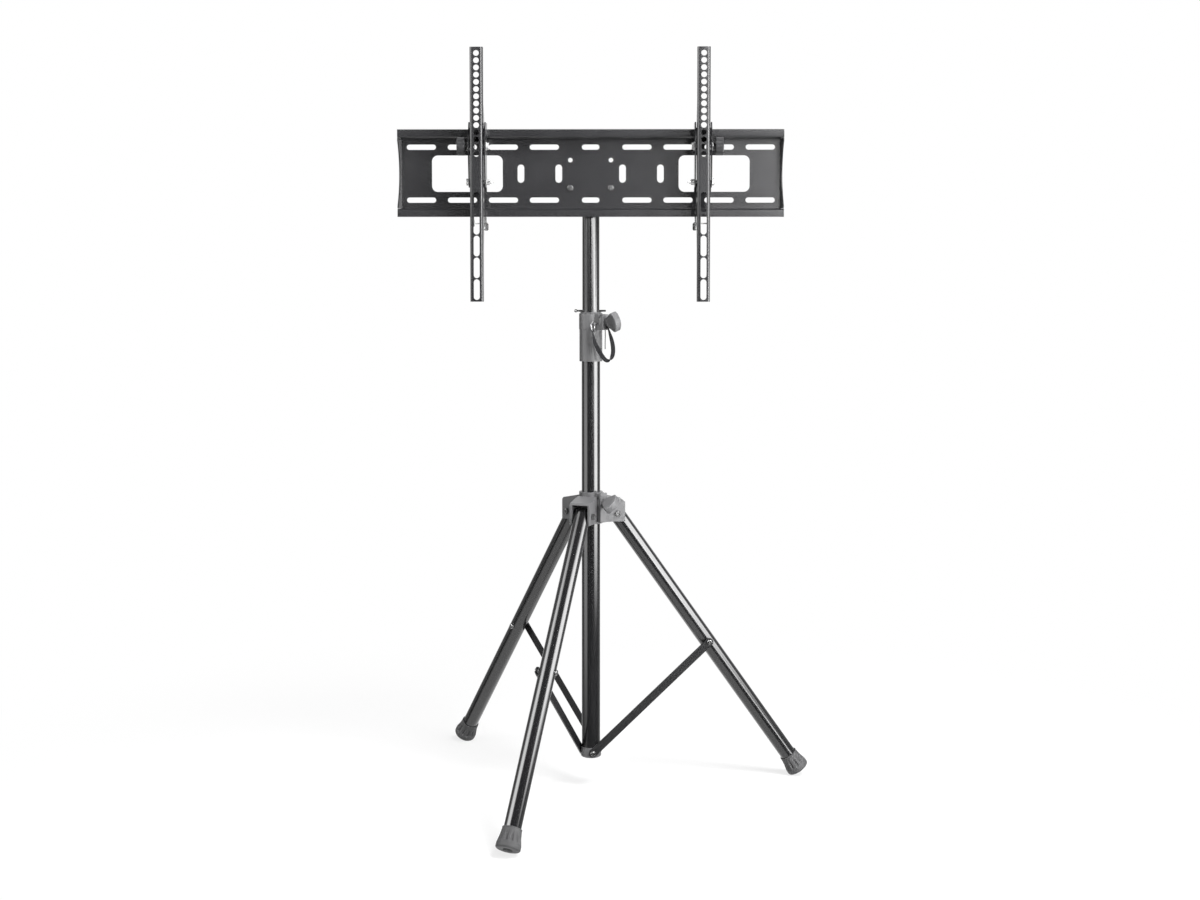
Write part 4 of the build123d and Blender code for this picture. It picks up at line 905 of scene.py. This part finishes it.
class STAND_OT_clamp_knobs(bpy.types.Operator):
    """Makes the two ridged paddle knobs"""
    bl_idname = "stand.clamp_knobs"
    bl_label = "Clamp Knobs"

    def execute(self, context):
        sizes = settings("knob")
        tree = self.ridge_tree()
        blank = knob_body("knob_blank")
        for name, reach, spin in CLAMPS:
            title = name + "_paddle"
            mesh = grow(title, blank, tree, {"Ridges": sizes.ridges, "Height": sizes.ridge_height,
                                             "Material": FINISH["knob"]})
            mesh.transform(self.place(name, reach, spin))
            new_piece(title, smooth(mesh, 38), name + "_screw", name + "_knob")
        return {"FINISHED"}

    def place(self, name, reach, spin):
        """Matrix from a knob's own frame to its place on the clamp screw."""
        joint = JOINTS[name + "_screw_turn"]
        out = Vector(joint["axis"]).normalized()
        side = Vector((-out.y, out.x, 0.0))
        base = Matrix((out, side, Vector((0, 0, 1)))).transposed().to_4x4()
        turn = Matrix.Rotation(math.radians(90.0 + spin), 4, "X")
        return Matrix.Translation(Vector(joint["pos_m"]) + out * reach * MM) @ base @ turn

    def ridge_tree(self):
        """Lays grip ridges across both broad faces of the paddle."""
        tree, nodes, start, end = geometry_tree("knob_ridges", (
            ("Ridges", "Int", 10), ("Height", "Float", 0.7 * MM), ("Material", "Material", None)))
        line = nodes.add("GeometryNodeMeshLine", mode="END_POINTS")
        line.inputs["Start Location"].default_value = (RIDGE_FIRST * MM, 0.0, RIDGE_SEAT * MM)
        line.inputs["Offset"].default_value = (RIDGE_LAST * MM, 0.0, RIDGE_SEAT * MM)
        nodes.link(start.outputs["Ridges"], line.inputs["Count"])
        bar = nodes.add("GeometryNodeMeshCylinder")
        bar.inputs["Vertices"].default_value = 10
        bar.inputs["Side Segments"].default_value = 1
        bar.inputs["Radius"].default_value = 1.0
        bar.inputs["Depth"].default_value = 2.0
        lay = nodes.add("GeometryNodeTransform")
        lay.inputs["Rotation"].default_value = (math.radians(90.0), 0.0, 0.0)
        nodes.link(bar.outputs["Mesh"], lay.inputs["Geometry"])
        place = nodes.add("GeometryNodeInputPosition")
        parts = nodes.add("ShaderNodeSeparateXYZ")
        nodes.link(place.outputs["Position"], parts.inputs["Vector"])
        # Half a ridge's length follows the paddle: it widens to the shoulders and closes in under the crown.
        straight = nodes.add("ShaderNodeMapRange", clamp=False)
        crown = nodes.add("ShaderNodeMapRange", interpolation_type="SMOOTHSTEP")
        for taper, values in ((straight, (2.0, 20.0, 3.8, 16.1)), (crown, (19.0, 27.5, 16.1, 3.0))):
            for label, value in zip(("From Min", "From Max", "To Min", "To Max"), values):
                taper.inputs[label].default_value = value * MM
            nodes.link(parts.outputs["X"], taper.inputs["Value"])
        size = nodes.add("ShaderNodeCombineXYZ")
        size.inputs["X"].default_value = RIDGE_HALF * MM
        reach = calc(nodes, "MINIMUM", straight.outputs["Result"], crown.outputs["Result"])
        nodes.link(reach, size.inputs["Y"])
        nodes.link(start.outputs["Height"], size.inputs["Z"])
        lay_on = nodes.add("GeometryNodeInstanceOnPoints")
        nodes.link(line.outputs["Mesh"], lay_on.inputs["Points"])
        nodes.link(lay.outputs["Geometry"], lay_on.inputs["Instance"])
        nodes.link(size.outputs["Vector"], lay_on.inputs["Scale"])
        other = nodes.add("GeometryNodeTransform")
        other.inputs["Rotation"].default_value = (math.pi, 0.0, 0.0)
        nodes.link(lay_on.outputs["Instances"], other.inputs["Geometry"])
        both = nodes.add("GeometryNodeJoinGeometry")
        nodes.link(other.outputs["Geometry"], both.inputs["Geometry"])
        nodes.link(lay_on.outputs["Instances"], both.inputs["Geometry"])
        nodes.link(start.outputs["Geometry"], both.inputs["Geometry"])
        finish_tree(nodes, both.outputs["Geometry"], start, end)
        return tree


# ---------------------------------------------------------------- panel and registration
OPERATORS = (STAND_OT_stage, STAND_OT_finishes, STAND_OT_lanyard, STAND_OT_feet, STAND_OT_clamp_knobs)
GROUPS = (("stage", StageSettings), ("finish", FinishSettings), ("foot", FootSettings),
          ("knob", KnobSettings), ("lanyard", LanyardSettings))


class STAND_PT_panel(bpy.types.Panel):
    """Lists the stand's operators in the sidebar"""
    bl_label = "Display Stand"
    bl_idname = "STAND_PT_panel"
    bl_space_type = "VIEW_3D"
    bl_region_type = "UI"
    bl_category = "Display Stand"

    def draw(self, context):
        for operator in OPERATORS:
            self.layout.operator(operator.bl_idname)


def register():
    """Adds the settings, the operators and the panel."""
    for name, group in GROUPS:
        bpy.utils.register_class(group)
        setattr(bpy.types.Scene, "stand_" + name, bpy.props.PointerProperty(type=group))
    for item in OPERATORS + (STAND_PT_panel,):
        bpy.utils.register_class(item)


def unregister():
    """Takes the panel, the operators and the settings away again."""
    for item in reversed(OPERATORS + (STAND_PT_panel,)):
        bpy.utils.unregister_class(item)
    for name, group in reversed(GROUPS):
        delattr(bpy.types.Scene, "stand_" + name)
        bpy.utils.unregister_class(group)


def main():
    """Runs every operator in order."""
    register()
    for operator in OPERATORS:
        group, name = operator.bl_idname.split(".")
        getattr(getattr(bpy.ops, group), name)()
    bpy.context.view_layer.update()


if __name__ == "__main__":
    main()
